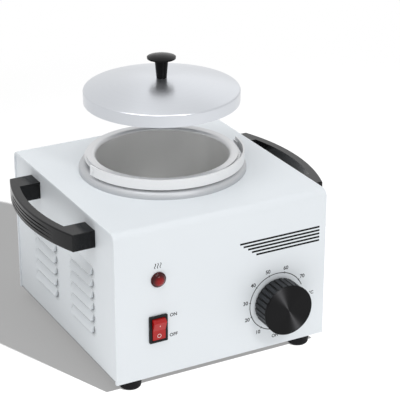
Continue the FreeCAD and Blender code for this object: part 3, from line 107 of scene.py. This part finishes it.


# polyester powder on steel: soft gloss, faint orange peel, nearly even white, with painted shade under the
# pressed lips
def makePowderCoat():
    material, tree, shader, coords = newMaterial("whitePowderCoat", Roughness=0.5, IOR=1.5,
                                                 Specular_IOR_Level=0.35)
    cloud = addNode(tree, "ShaderNodeTexNoise", {"Vector": coords, "Scale": 1 / (powder["cloud"] * mm),
                                                 "Detail": 3.0})
    tint = addNode(tree, "ShaderNodeMix", {0: cloud.outputs["Fac"], 6: hexColour(powder["dark"]),
                                           7: hexColour(powder["light"])}, data_type="RGBA")
    occlusion = addNode(tree, "ShaderNodeAmbientOcclusion", {"Distance": powder["occlusion"] * mm}, samples=8,
                      only_local=True)
    unshaded = addNode(tree, "ShaderNodeMapRange", {"Value": occlusion.outputs["AO"], "From Min": powder["fullShadeAt"],
                                                "From Max": powder["unshaded"]})
    # painted shade: the flat of a side panel is darkened where it is hidden under the lips, and the lips and
    # folds keep the white
    normal = addNode(tree, "ShaderNodeNewGeometry").outputs["Normal"]
    facing = addNode(tree, "ShaderNodeSeparateXYZ", {"Vector": normal})
    across = addNode(tree, "ShaderNodeMath", {0: facing.outputs["X"]}, operation="ABSOLUTE")
    bent = addNode(tree, "ShaderNodeMath", {0: across.outputs[0], 1: powder["flatPanel"]},
                   operation="LESS_THAN")
    unmarked = addNode(tree, "ShaderNodeMath", {0: unshaded.outputs["Result"], 1: bent.outputs[0]},
                    operation="MAXIMUM")
    shadedTint = addNode(tree, "ShaderNodeMix", {0: unmarked.outputs[0], 6: hexColour(powder["paintedShade"]),
                                             7: tint.outputs[2]}, data_type="RGBA")
    tree.links.new(shadedTint.outputs[2], shader.inputs["Base Color"])
    peel = addNode(tree, "ShaderNodeTexNoise", {"Vector": coords, "Scale": 1 / (powder["peel"] * mm),
                                                "Detail": 2.0})
    bump = addNode(tree, "ShaderNodeBump", {"Height": peel.outputs["Fac"], "Strength": powder["peelStrength"],
                                            "Distance": powder["peelDepth"] * mm})
    tree.links.new(bump.outputs["Normal"], shader.inputs["Normal"])
    return material


grainLook = {"roughSway": 0.06, "bump": 0.1}


# moulded, printed or plated skin: fine even grain that breaks the gloss, drawn coarse enough to show
def makeGrained(name, dark, light, rough, grain, depth, shine=0.5, metal=0.0):
    material, tree, shader, coords = newMaterial(name, Metallic=metal, IOR=1.5, Specular_IOR_Level=shine)
    speckle = addNode(tree, "ShaderNodeTexNoise", {"Vector": coords, "Scale": 1 / (grain * mm),
                                                   "Detail": 4.0})
    tint = addNode(tree, "ShaderNodeMix", {0: speckle.outputs["Fac"], 6: hexColour(dark),
                                           7: hexColour(light)}, data_type="RGBA")
    tree.links.new(tint.outputs[2], shader.inputs["Base Color"])
    spread = addNode(tree, "ShaderNodeMapRange", {"Value": speckle.outputs["Fac"],
                                                  "To Min": rough - grainLook["roughSway"],
                                                  "To Max": rough + grainLook["roughSway"]})
    tree.links.new(spread.outputs["Result"], shader.inputs["Roughness"])
    bump = addNode(tree, "ShaderNodeBump", {"Height": speckle.outputs["Fac"], "Strength": depth,
                                            "Distance": grainLook["bump"] * mm})
    tree.links.new(bump.outputs["Normal"], shader.inputs["Normal"])
    return material


ringLook = {"roughSway": 0.05, "strength": 0.05, "bump": 0.05}

# heights and radius on the pot: wiped inside, rim as spun, outside greyed where it stands in the heated well
potZones = {"radius": 61, "unmarked": 166, "grey": 158, "outside": "#b0b2b5",
            "inside": 165.5, "rim": 167.5, "rimDark": "#c8c9cb", "rimLight": "#dbdcde"}


def addPotZones(tree, place, rings, tint):
    height = place.outputs["Z"]
    atRim = addNode(tree, "ShaderNodeMapRange", {"Value": height, "From Min": potZones["inside"] * mm,
                                                 "From Max": potZones["rim"] * mm})
    rimTint = addNode(tree, "ShaderNodeMix", {0: rings.outputs["Fac"], 6: hexColour(potZones["rimDark"]),
                                              7: hexColour(potZones["rimLight"])}, data_type="RGBA")
    wiped = addNode(tree, "ShaderNodeMix", {0: atRim.outputs["Result"], 6: tint.outputs[2],
                                            7: rimTint.outputs[2]}, data_type="RGBA")
    # a face that points away from the pot's middle, or down, is on its outside
    away = addNode(tree, "ShaderNodeCombineXYZ", {"X": place.outputs["X"], "Y": place.outputs["Y"],
                                                  "Z": -potZones["radius"] * mm})
    normal = addNode(tree, "ShaderNodeNewGeometry").outputs["Normal"]
    facing = addNode(tree, "ShaderNodeVectorMath", {0: normal, 1: away.outputs["Vector"]},
                     operation="DOT_PRODUCT")
    outside = addNode(tree, "ShaderNodeMath", {0: facing.outputs["Value"], 1: 0.0}, operation="GREATER_THAN")
    below = addNode(tree, "ShaderNodeMapRange", {"Value": height, "From Min": potZones["unmarked"] * mm,
                                                 "From Max": potZones["grey"] * mm})
    share = addNode(tree, "ShaderNodeMath", {0: outside.outputs[0], 1: below.outputs["Result"]},
                    operation="MULTIPLY")
    return addNode(tree, "ShaderNodeMix", {0: share.outputs[0], 6: wiped.outputs[2],
                                           7: hexColour(potZones["outside"])}, data_type="RGBA")


# metal spun on a lathe: rings about its axis, drawn coarse enough to show, which spread the light in a fan
def makeSpunMetal(name, dark, light, rough, centre, ring, lathe, metal, fan, pot=False):
    material, tree, shader, coords = newMaterial(name, Metallic=metal, Anisotropic=fan,
                                                 Anisotropic_Rotation=0.25)
    tangent = addNode(tree, "ShaderNodeTangent", direction_type="RADIAL", axis=lathe)
    tree.links.new(tangent.outputs["Tangent"], shader.inputs["Tangent"])
    centred = addNode(tree, "ShaderNodeMapping", {"Vector": coords, "Location": [-c * mm for c in centre]})
    place = addNode(tree, "ShaderNodeSeparateXYZ", {"Vector": centred.outputs["Vector"]})
    pair = ("X", "Y") if lathe == "Z" else ("X", "Z")
    flat = addNode(tree, "ShaderNodeCombineXYZ", {"X": place.outputs[pair[0]], "Y": place.outputs[pair[1]]})
    radius = addNode(tree, "ShaderNodeVectorMath", {0: flat.outputs["Vector"]}, operation="LENGTH")
    along = addNode(tree, "ShaderNodeCombineXYZ", {"X": radius.outputs["Value"]})
    rings = addNode(tree, "ShaderNodeTexNoise", {"Vector": along.outputs["Vector"], "Scale": 1 / (ring * mm),
                                                 "Detail": 4.0})
    tint = addNode(tree, "ShaderNodeMix", {0: rings.outputs["Fac"], 6: hexColour(dark), 7: hexColour(light)},
                   data_type="RGBA")
    if pot:
        tint = addPotZones(tree, place, rings, tint)
    tree.links.new(tint.outputs[2], shader.inputs["Base Color"])
    spread = addNode(tree, "ShaderNodeMapRange", {"Value": rings.outputs["Fac"],
                                                  "To Min": rough - ringLook["roughSway"],
                                                  "To Max": rough + ringLook["roughSway"]})
    tree.links.new(spread.outputs["Result"], shader.inputs["Roughness"])
    bump = addNode(tree, "ShaderNodeBump", {"Height": rings.outputs["Fac"], "Strength": ringLook["strength"],
                                            "Distance": ringLook["bump"] * mm})
    tree.links.new(bump.outputs["Normal"], shader.inputs["Normal"])
    return material


# the cloud in millimetres, and in radii of a dome: its painted bright spot above its foot, and where the
# painted spot fades to dark
tinted = {"cloud": 6, "spot": 0.85, "light": 0.3, "dark": 1.1}


# tinted polycarbonate: gloss skin over a deep colour, and a dome has a painted glow low down, darker towards
# its edge
def makeTinted(name, dark, light, rough, coat, shine, dome=None):
    material, tree, shader, coords = newMaterial(name, Roughness=rough, IOR=1.58, Coat_Weight=coat,
                                                 Coat_Roughness=0.05, Specular_IOR_Level=shine)
    # painted light: the lens is lighter about a spot low in its dome and darker towards its edge
    if dome:
        low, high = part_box(dome)
        reach = (high[2] - low[2]) / 2
        paintedGlowCentre = ((low[0] + high[0]) / 2, low[1], low[2] + tinted["spot"] * reach)
        away = addNode(tree, "ShaderNodeVectorMath", {0: coords, 1: paintedGlowCentre}, operation="DISTANCE")
        share = addNode(tree, "ShaderNodeMapRange", {"Value": away.outputs["Value"],
                                                     "From Min": tinted["dark"] * reach,
                                                     "From Max": tinted["light"] * reach},
                        interpolation_type="SMOOTHSTEP").outputs["Result"]
    else:
        share = addNode(tree, "ShaderNodeTexNoise", {"Vector": coords, "Scale": 1 / (tinted["cloud"] * mm),
                                                     "Detail": 1.0}).outputs["Fac"]
    tint = addNode(tree, "ShaderNodeMix", {0: share, 6: hexColour(dark), 7: hexColour(light)},
                   data_type="RGBA")
    tree.links.new(tint.outputs[2], shader.inputs["Base Color"])
    return material


# the knob's ribs: how many, and where between crest and root the painted shade of the flutes starts and ends
ribs = {"count": 28, "crest": 0.2, "root": 0.85, "light": "#2b2d30", "dark": "#020202"}


def makeFlutedPlastic():  # moulded phenolic: satin ribs, with painted shade in the flutes
    material, tree, shader, coords = newMaterial("flutedBlackPhenolic", Roughness=0.34, IOR=1.5,
                                                 Specular_IOR_Level=0.18)
    axis = [-casing["knobX"] * mm, 0, -casing["knobZ"] * mm]
    centred = addNode(tree, "ShaderNodeMapping", {"Vector": coords, "Location": axis})
    place = addNode(tree, "ShaderNodeSeparateXYZ", {"Vector": centred.outputs["Vector"]})
    turn = addNode(tree, "ShaderNodeMath", {0: place.outputs["X"], 1: place.outputs["Z"]},
                   operation="ARCTAN2")
    count = addNode(tree, "ShaderNodeMath", {0: turn.outputs[0], 1: ribs["count"]}, operation="MULTIPLY")
    wave = addNode(tree, "ShaderNodeMath", {0: count.outputs[0]}, operation="COSINE")
    fluteShade = addNode(tree, "ShaderNodeMapRange", {"Value": wave.outputs[0], "From Min": ribs["crest"],
                                                "From Max": ribs["root"]})
    # painted shade: the colour goes from the crest colour to near black towards the root of each flute
    tint = addNode(tree, "ShaderNodeMix", {0: fluteShade.outputs["Result"], 6: hexColour(ribs["light"]),
                                           7: hexColour(ribs["dark"])}, data_type="RGBA")
    tree.links.new(tint.outputs[2], shader.inputs["Base Color"])
    return material


inkLook = {"dark": "#050506", "light": "#0b0c0d", "cloud": 1.5}


def makeInk():  # screen-printed ink: flat, nearly black
    material, tree, shader, coords = newMaterial("blackScreenInk", Roughness=0.5, Specular_IOR_Level=0.15)
    cloud = addNode(tree, "ShaderNodeTexNoise", {"Vector": coords, "Scale": 1 / (inkLook["cloud"] * mm),
                                                 "Detail": 2.0})
    tint = addNode(tree, "ShaderNodeMix", {0: cloud.outputs["Fac"], 6: hexColour(inkLook["dark"]),
                                           7: hexColour(inkLook["light"])}, data_type="RGBA")
    tree.links.new(tint.outputs[2], shader.inputs["Base Color"])
    return material


powderCoat = makePowderCoat()
flutedPlastic = makeFlutedPlastic()
ink = makeInk()

# glass-filled nylon from a fine mould: black, with a soft glint along its edges
handlePlastic = makeGrained("blackMouldedNylon", "#0f1012", "#131416", rough=0.2, grain=0.5, depth=0.015,
                            shine=0.2)
# phenolic from a polished mould: deep black with a small clear highlight
knobPlastic = makeGrained("blackPhenolic", "#0b0b0d", "#101012", rough=0.16, grain=1.6, depth=0.01, shine=0.1)
# nylon from a grained mould: black with a broken gloss
casePlastic = makeGrained("blackSwitchNylon", "#0e0e10", "#141416", rough=0.38, grain=0.9, depth=0.06,
                          shine=0.2)
# moulded rubber: matt and nearly black
footRubber = makeGrained("blackRubber", "#101012", "#17171a", rough=0.7, grain=0.8, depth=0.15, shine=0.15)
# moulded phenolic: cream and half matt
thermostatPlastic = makeGrained("creamPhenolic", "#c3b99f", "#cfc6ae", rough=0.5, grain=1.0, depth=0.08)
# felted ceramic fibre: pale, woolly and without gloss
woolFibre = makeGrained("ceramicFibre", "#d6d1c2", "#e6e2d6", rough=0.9, grain=3.0, depth=0.5)
# extruded PVC: even colour with a half gloss
brownSleeve = makeGrained("brownWireSleeve", "#4a2512", "#56301b", rough=0.45, grain=1.0, depth=0.05)
blueSleeve = makeGrained("blueWireSleeve", "#1f3f8f", "#284a9b", rough=0.45, grain=1.0, depth=0.05)
earthSleeve = makeGrained("greenWireSleeve", "#5d8f2c", "#699b36", rough=0.45, grain=1.0, depth=0.05)
# fired enamel: bright smooth white
bailEnamel = makeGrained("whiteEnamel", "#f4f5f6", "#f8f9fa", rough=0.3, grain=2.0, depth=0.03, shine=0.4)
# pad-printed ink: flat off-white
whiteInk = makeGrained("whitePrintInk", "#dcd6d4", "#efeae8", rough=0.5, grain=0.8, depth=0.02, shine=0.2)
# plated steel, rolled brass and drawn copper: bare metal with a faintly clouded sheen
zincSteel = makeGrained("zincPlatedSteel", "#a4a6a8", "#b4b6b8", rough=0.36, grain=2.0, depth=0.03, metal=1.0)
brass = makeGrained("brightBrass", "#b99a52", "#c8a95f", rough=0.3, grain=1.5, depth=0.03, metal=1.0)
copper = makeGrained("drawnCopper", "#b0704a", "#bd7d56", rough=0.32, grain=1.5, depth=0.03, metal=1.0)

potAxis = (0, casing["potY"], 0)
knobAxis = (casing["knobX"], 0, casing["knobZ"])
# spun aluminium, satin or matt: the lid mirrors softly, the pot spreads its light, the collar is dull
lidAluminium = makeSpunMetal("satinSpunAluminium", "#c2c5ca", "#cdd0d5", rough=0.3, centre=potAxis, ring=1.6,
                             lathe="Z", metal=1.0, fan=0.5)
potAluminium = makeSpunMetal("mattSpunAluminium", "#f2f2f1", "#f8f8f7", rough=0.34, centre=potAxis, ring=2.2,
                             lathe="Z", metal=0.65, fan=0.8, pot=True)
collarAluminium = makeSpunMetal("satinCollarAluminium", "#babcbf", "#c6c8cb", rough=0.5, centre=potAxis,
                                ring=2.0, lathe="Z", metal=0.5, fan=0.4)
# turned and anodised aluminium: nearly black, with a narrow fan of light
blackAnodised = makeSpunMetal("blackAnodisedAluminium", "#212122", "#2a2a2b", rough=0.52, centre=knobAxis,
                              ring=0.9, lathe="Y", metal=1.0, fan=0.97)

# moulded polycarbonate: the rocker bright red and half gloss, the lens deep and glossy with a painted glow
# low in it, its bezel darker
rockerRed = makeTinted("redPolycarbonate", "#a40e0d", "#b01311", rough=0.3, coat=0.1, shine=0.25)
lensRed = makeTinted("deepRedPolycarbonate", "#3a0508", "#8c0b10", rough=0.05, coat=0.0, shine=0.2,
                     dome="lamp_lens")
bezelRed = makeTinted("darkRedPolycarbonate", "#3c0407", "#4a070a", rough=0.12, coat=0.0, shine=0.15)

dress(powderCoat, "housing_shell", "left_side_panel", "right_side_panel")
dress(bailEnamel, "pot_bail", "bail_rivets", "left_pot_ear", "right_pot_ear")
dress(handlePlastic, "left_handle", "right_handle")
dress(flutedPlastic, "control_knob")
dress(knobPlastic, "lid_knob")
dress(casePlastic, "switch_housing", "mains_inlet")
dress(footRubber, "front_left_foot", "front_right_foot", "rear_left_foot", "rear_right_foot")
dress(thermostatPlastic, "thermostat_body")
dress(woolFibre, "insulation_wrap")
dress(brownSleeve, "live_wire", "switched_wire", "heater_wire", "fuse_wire")
dress(blueSleeve, "neutral_wire", "lamp_leads")
dress(earthSleeve, "earth_wire")
dress(lidAluminium, "lid")
dress(potAluminium, "wax_pot", "heating_well")
dress(collarAluminium, "well_collar")
dress(blackAnodised, "knob_face_disc")
dress(zincSteel, "base_plate", "base_screws", "foot_screws", "foot_nuts", "handle_screws", "well_screws",
      "heater_band", "heater_clamp_screw", "heater_clamp_nut", "thermostat_screws", "thermostat_shaft",
      "bulb_clip", "fuse_clip", "lid_screw", "lid_washer", "inlet_screws", "earth_screw", "lamp_clip")
dress(brass, "switch_terminals", "inlet_pins", "thermal_fuse")
dress(copper, "thermostat_capillary", "thermostat_bulb")
dress(rockerRed, "switch_rocker")
dress(lensRed, "lamp_lens")
dress(bezelRed, "lamp_body")
print("materials set:", len(bpy.data.materials))


# printed marks of the front panel

panel = {  # millimetres and degrees, and letters in the font's own units
    "film": 0.04, "letterDepth": 0.02, "letterWeight": 0.02,
    "numberHeight": 3.7, "numberRadius": 32.5, "wordHeight": 3.3,
    "dialRadius": 27.7, "dialLine": 0.7, "dialFrom": -92, "dialSweep": -246, "dialSteps": 96,
    "tickLength": 2.0, "tickWidth": 0.55, "tickOut": 0.2,
    "numbers": ((10, -125.0), (20, -158.7), (30, 171.2), (40, 139.2), (50, 107.1), (60, 74.1), (70, 36.1)),
    "dialWords": (("OFF", -91, 34.5), ("°C", 0.3, 36.3)),
    "switchWords": (("ON", -49.4, 67.5), ("OFF", -49.3, 48.0)),
    "stripes": ((16.5, 119.3), (20.0, 116.0), (24.5, 112.8), (28.5, 109.5), (33.0, 106.2)),
    "stripeEnd": 98.0, "stripeHeight": 1.75,
    "waveX": -64.0, "waveZ": 117.5, "waveHeight": 5.0, "waveGap": 2.6, "waveWidth": 0.75, "waveSwing": 0.55,
    "waveSteps": 16,
}


def toPanel(bm, x, z):  # from the XY plane to the front panel, facing the viewer
    film = panel["film"] * mm
    spot = Matrix.Translation((x * mm, casing["frontY"] * mm - film / 2, z * mm))
    bmesh.ops.transform(bm, matrix=spot @ Matrix.Rotation(pi / 2, 4, "X"), verts=bm.verts)


def toDial(bm, angle, radius):
    a = radians(angle)
    toPanel(bm, casing["knobX"] + radius * cos(a), casing["knobZ"] + radius * sin(a))


def turnFlat(bm, angle):
    bmesh.ops.rotate(bm, cent=(0, 0, 0), matrix=Matrix.Rotation(radians(angle), 3, "Z"), verts=bm.verts)


def thicken(bm, depth):  # a flat outline gets its thickness
    top = bmesh.ops.extrude_face_region(bm, geom=bm.faces[:])
    raised = [g for g in top["geom"] if isinstance(g, bmesh.types.BMVert)]
    bmesh.ops.translate(bm, vec=(0, 0, depth * mm), verts=raised)


def lettering(text, height):  # flat solid text centred on the origin
    curve = bpy.data.curves.new("words", "FONT")
    curve.body = text
    curve.align_x = "CENTER"
    curve.align_y = "CENTER"
    curve.extrude = panel["letterDepth"]
    curve.offset = panel["letterWeight"]
    holder = bpy.data.objects.new("words", curve)
    bpy.context.scene.collection.objects.link(holder)
    bpy.context.view_layer.update()
    mesh = bpy.data.meshes.new_from_object(holder)
    bpy.data.objects.remove(holder)
    bm = bmesh.new()
    bm.from_mesh(mesh)
    bpy.data.meshes.remove(mesh)
    xs, ys = [v.co.x for v in bm.verts], [v.co.y for v in bm.verts]
    bmesh.ops.translate(bm, vec=(-(min(xs) + max(xs)) / 2, -(min(ys) + max(ys)) / 2, 0), verts=bm.verts)
    size = height * mm / (max(ys) - min(ys))
    film = panel["film"] * mm / (2 * panel["letterDepth"])  # the text is extruded both ways
    bmesh.ops.scale(bm, vec=(size, size, film), verts=bm.verts)
    return bm


def plate(width, height):  # thin printed bar centred on the origin
    bm = bmesh.new()
    bmesh.ops.create_cube(bm, size=1)
    bmesh.ops.scale(bm, vec=(width * mm, height * mm, panel["film"] * mm), verts=bm.verts)
    return bm


def join(whole, bm):
    mesh = bpy.data.meshes.new("stroke")
    bm.to_mesh(mesh)
    bm.free()
    whole.from_mesh(mesh)
    bpy.data.meshes.remove(mesh)


def addNumbers(whole):
    for number, angle in panel["numbers"]:
        bm = lettering(str(number), panel["numberHeight"])
        toDial(bm, angle, panel["numberRadius"])
        join(whole, bm)
        bm = plate(panel["tickLength"], panel["tickWidth"])
        bmesh.ops.translate(bm, vec=((panel["dialRadius"] + panel["tickOut"]) * mm, 0, 0), verts=bm.verts)
        turnFlat(bm, angle)
        toDial(bm, 0, 0)
        join(whole, bm)


def addWords(whole):
    for text, angle, radius in panel["dialWords"]:
        bm = lettering(text, panel["wordHeight"])
        toDial(bm, angle, radius)
        join(whole, bm)
    for text, x, z in panel["switchWords"]:
        bm = lettering(text, panel["wordHeight"])
        toPanel(bm, x, z)
        join(whole, bm)


def addDialLine(whole):  # a small section spun round the knob
    bm = plate(panel["dialLine"], panel["dialLine"])
    bmesh.ops.translate(bm, vec=(panel["dialRadius"] * mm, 0, 0), verts=bm.verts)
    rest = [f for f in bm.faces if f.normal.y <= 0.9]
    bmesh.ops.delete(bm, geom=rest, context="FACES")
    turnFlat(bm, panel["dialFrom"])
    bmesh.ops.spin(bm, geom=bm.verts[:] + bm.edges[:] + bm.faces[:], cent=(0, 0, 0), axis=(0, 0, 1),
                   angle=radians(panel["dialSweep"]), steps=panel["dialSteps"])
    toDial(bm, 0, 0)
    join(whole, bm)


def addStripes(whole):
    for left, z in panel["stripes"]:
        bm = plate(panel["stripeEnd"] - left, panel["stripeHeight"])
        toPanel(bm, (panel["stripeEnd"] + left) / 2, z)
        join(whole, bm)


def addHeatSign(whole):  # generic sign: three rising waves
    height, swing = panel["waveHeight"] * mm, panel["waveSwing"] * mm
    for step in (-1, 0, 1):
        bm = bmesh.new()
        bmesh.ops.create_grid(bm, x_segments=1, y_segments=panel["waveSteps"], size=0.5)
        bmesh.ops.scale(bm, vec=(panel["waveWidth"] * mm, height, 1), verts=bm.verts)
        for v in bm.verts:
            v.co.x += swing * sin(2 * pi * v.co.y / height) + step * panel["waveGap"] * mm
        thicken(bm, panel["film"] / 2)
        toPanel(bm, panel["waveX"], panel["waveZ"])
        join(whole, bm)


def makePanelPrint():
    whole = bmesh.new()
    addNumbers(whole)
    addWords(whole)
    addDialLine(whole)
    addStripes(whole)
    addHeatSign(whole)
    return finishPiece("panel_print", meshOf(whole, "panel_print"), ink, "casing")


makePanelPrint()
print("panel print made")


# rocker marks, on the two facets of the tilted rocker: a line above and a ring below

rocker = {  # lengths in millimetres, tilt in degrees
    "x": -64.6, "pivotY": -99.55, "z": 57.5, "tilt": 11, "face": 5.6, "dip": 1.5, "half": 8.82, "at": 5.2,
    "barWidth": 0.5, "barHeight": 1.7, "ringOut": 1.9, "ringLine": 0.42, "ringSteps": 40,
}


def ringMark():
    bm = bmesh.new()
    bmesh.ops.create_circle(bm, segments=rocker["ringSteps"], radius=rocker["ringOut"] * mm)
    grown = bmesh.ops.extrude_edge_only(bm, edges=bm.edges[:])
    inner = [g for g in grown["geom"] if isinstance(g, bmesh.types.BMVert)]
    share = 1 - rocker["ringLine"] / rocker["ringOut"]
    bmesh.ops.scale(bm, vec=(share, share, 1), verts=inner)
    thicken(bm, panel["film"])
    return bm


def toRocker(bm, side):  # side is 1 on the upper facet and -1 on the lower one
    slope = atan2(rocker["dip"], rocker["half"])
    depth = rocker["face"] - rocker["dip"] + rocker["at"] * rocker["dip"] / rocker["half"]
    lean = Matrix.Rotation(side * slope, 4, "X")
    seat = Matrix.Translation((0, side * rocker["at"] * mm, depth * mm))
    upright = Matrix.Rotation(pi / 2 + radians(rocker["tilt"]), 4, "X")
    spot = Matrix.Translation((rocker["x"] * mm, rocker["pivotY"] * mm, rocker["z"] * mm))
    bmesh.ops.transform(bm, matrix=spot @ upright @ seat @ lean, verts=bm.verts)


def makeRockerMarks():
    whole = bmesh.new()
    for side, bm in ((1, plate(rocker["barWidth"], rocker["barHeight"])), (-1, ringMark())):
        toRocker(bm, side)
        join(whole, bm)
    return finishPiece("rocker_marks", meshOf(whole, "rocker_marks"), whiteInk, "rocker")


makeRockerMarks()
print("rocker marks made")


# stage, light and camera

stage = {  # lengths in metres
    "half": 6, "drop": 0.0001, "colour": "#595959", "glow": 0.33, "fadeFrom": 0.5, "fadeTo": 0.85,
}


def makeFloor():
    bm = bmesh.new()
    bmesh.ops.create_grid(bm, x_segments=1, y_segments=1, size=stage["half"])
    bmesh.ops.translate(bm, vec=(0, 0, -stage["drop"]), verts=bm.verts)  # a hair below the feet
    mesh = meshOf(bm, "floor")
    floor = bpy.data.objects.new("floor", mesh)
    bpy.context.scene.collection.objects.link(floor)
    material = bpy.data.materials.new("paleFloor")
    material.use_nodes = True
    tree = material.node_tree
    tree.nodes.clear()
    coords = addNode(tree, "ShaderNodeTexCoord").outputs["Object"]
    reach = addNode(tree, "ShaderNodeVectorMath", {0: coords}, operation="LENGTH")
    fade = addNode(tree, "ShaderNodeMapRange", {"Value": reach.outputs["Value"],
                                                "From Min": stage["fadeFrom"], "From Max": stage["fadeTo"]},
                   interpolation_type="SMOOTHSTEP")
    matt = addNode(tree, "ShaderNodeBsdfDiffuse", {"Color": hexColour(stage["colour"])})
    glow = addNode(tree, "ShaderNodeEmission", {"Color": (1, 1, 1, 1), "Strength": stage["glow"]})
    pale = addNode(tree, "ShaderNodeAddShader", {0: matt.outputs[0], 1: glow.outputs[0]})  # evens the shadow
    white = addNode(tree, "ShaderNodeEmission", {"Color": (1, 1, 1, 1), "Strength": 1.0})
    mix = addNode(tree, "ShaderNodeMixShader", {0: fade.outputs["Result"], 1: pale.outputs[0],
                                                2: white.outputs[0]})
    addNode(tree, "ShaderNodeOutputMaterial", {"Surface": mix.outputs[0]})
    mesh.materials.append(material)
    return floor


worldLight = 0.46


def makeWorld():  # white to the eye and in reflections, dimmer as light
    world = bpy.data.worlds.new("studio")
    bpy.context.scene.world = world
    world.use_nodes = True
    tree = world.node_tree
    tree.nodes.clear()
    path = addNode(tree, "ShaderNodeLightPath")
    seen = addNode(tree, "ShaderNodeMath", {0: path.outputs["Is Camera Ray"],
                                            1: path.outputs["Is Glossy Ray"]}, operation="MAXIMUM")
    seen = addNode(tree, "ShaderNodeMath", {0: seen.outputs[0], 1: path.outputs["Is Transmission Ray"]},
                   operation="MAXIMUM")
    dim = addNode(tree, "ShaderNodeBackground", {"Color": (1, 1, 1, 1), "Strength": worldLight})
    white = addNode(tree, "ShaderNodeBackground", {"Color": (1, 1, 1, 1), "Strength": 1.0})
    mix = addNode(tree, "ShaderNodeMixShader", {0: seen.outputs[0], 1: dim.outputs[0], 2: white.outputs[0]})
    addNode(tree, "ShaderNodeOutputWorld", {"Surface": mix.outputs[0]})


lamps = {  # place, aim and size in metres, power in watts, and the one thing that a lamp reaches
    "floorLight": {"at": (1.04, -3.03, 2.75), "aim": (0, 0, 0), "size": 0.06, "power": 2140,
                   "only": "floorOnly"},
    "discLight": {"at": (-0.008, -1.76, 1.005), "aim": (0.055, -0.12, 0.055), "size": 0.2, "power": 45,
                  "only": "discOnly"},
    "keyLight": {"at": (0.17, -1.53, 1.33), "aim": (0, 0, 0.1), "size": 0.25, "power": 5.6},
    "fillLight": {"at": (-0.45, -0.2, 2.0), "aim": (0, 0, 0.1), "size": 1.6, "power": 20},
    "backLight": {"at": (1.2, 1.6, 1.2), "aim": (0, 0, 0.2), "size": 1.2, "power": 1.2},
}


def makeLights(floor):
    reached = {"floorOnly": floor, "discOnly": nodes["knob_face_disc"]}
    for name, lamp in lamps.items():
        light = bpy.data.lights.new(name, "AREA")
        light.size = lamp["size"]
        light.energy = lamp["power"]
        holder = bpy.data.objects.new(name, light)
        holder.location = lamp["at"]
        holder.rotation_mode = "QUATERNION"
        holder.rotation_quaternion = (Vector(lamp["aim"]) - Vector(lamp["at"])).to_track_quat("-Z", "Y")
        bpy.context.scene.collection.objects.link(holder)
        if "only" in lamp:
            group = bpy.data.collections.new(lamp["only"])
            group.objects.link(reached[lamp["only"]])
            holder.light_linking.receiver_collection = group


camera = {  # place in millimetres, angles in degrees, focal length in pixels of the frame
    "at": (-610.92, -1198.55, 713.97), "azimuth": -28.16, "elevation": 23.59, "focal": 1600.5, "frame": 400,
    "sensor": 36,
}


def makeCamera():
    lens = bpy.data.cameras.new("camera")
    lens.sensor_width = camera["sensor"]
    lens.lens = camera["sensor"] * camera["focal"] / camera["frame"]
    holder = bpy.data.objects.new("camera", lens)
    holder.location = [v * mm for v in camera["at"]]
    holder.rotation_euler = (radians(90 - camera["elevation"]), 0, radians(camera["azimuth"]))
    bpy.context.scene.collection.objects.link(holder)
    bpy.context.scene.camera = holder


floor = makeFloor()
makeWorld()
makeLights(floor)
makeCamera()
bpy.context.scene.view_settings.view_transform = "Standard"
print("stage, lights and camera set")
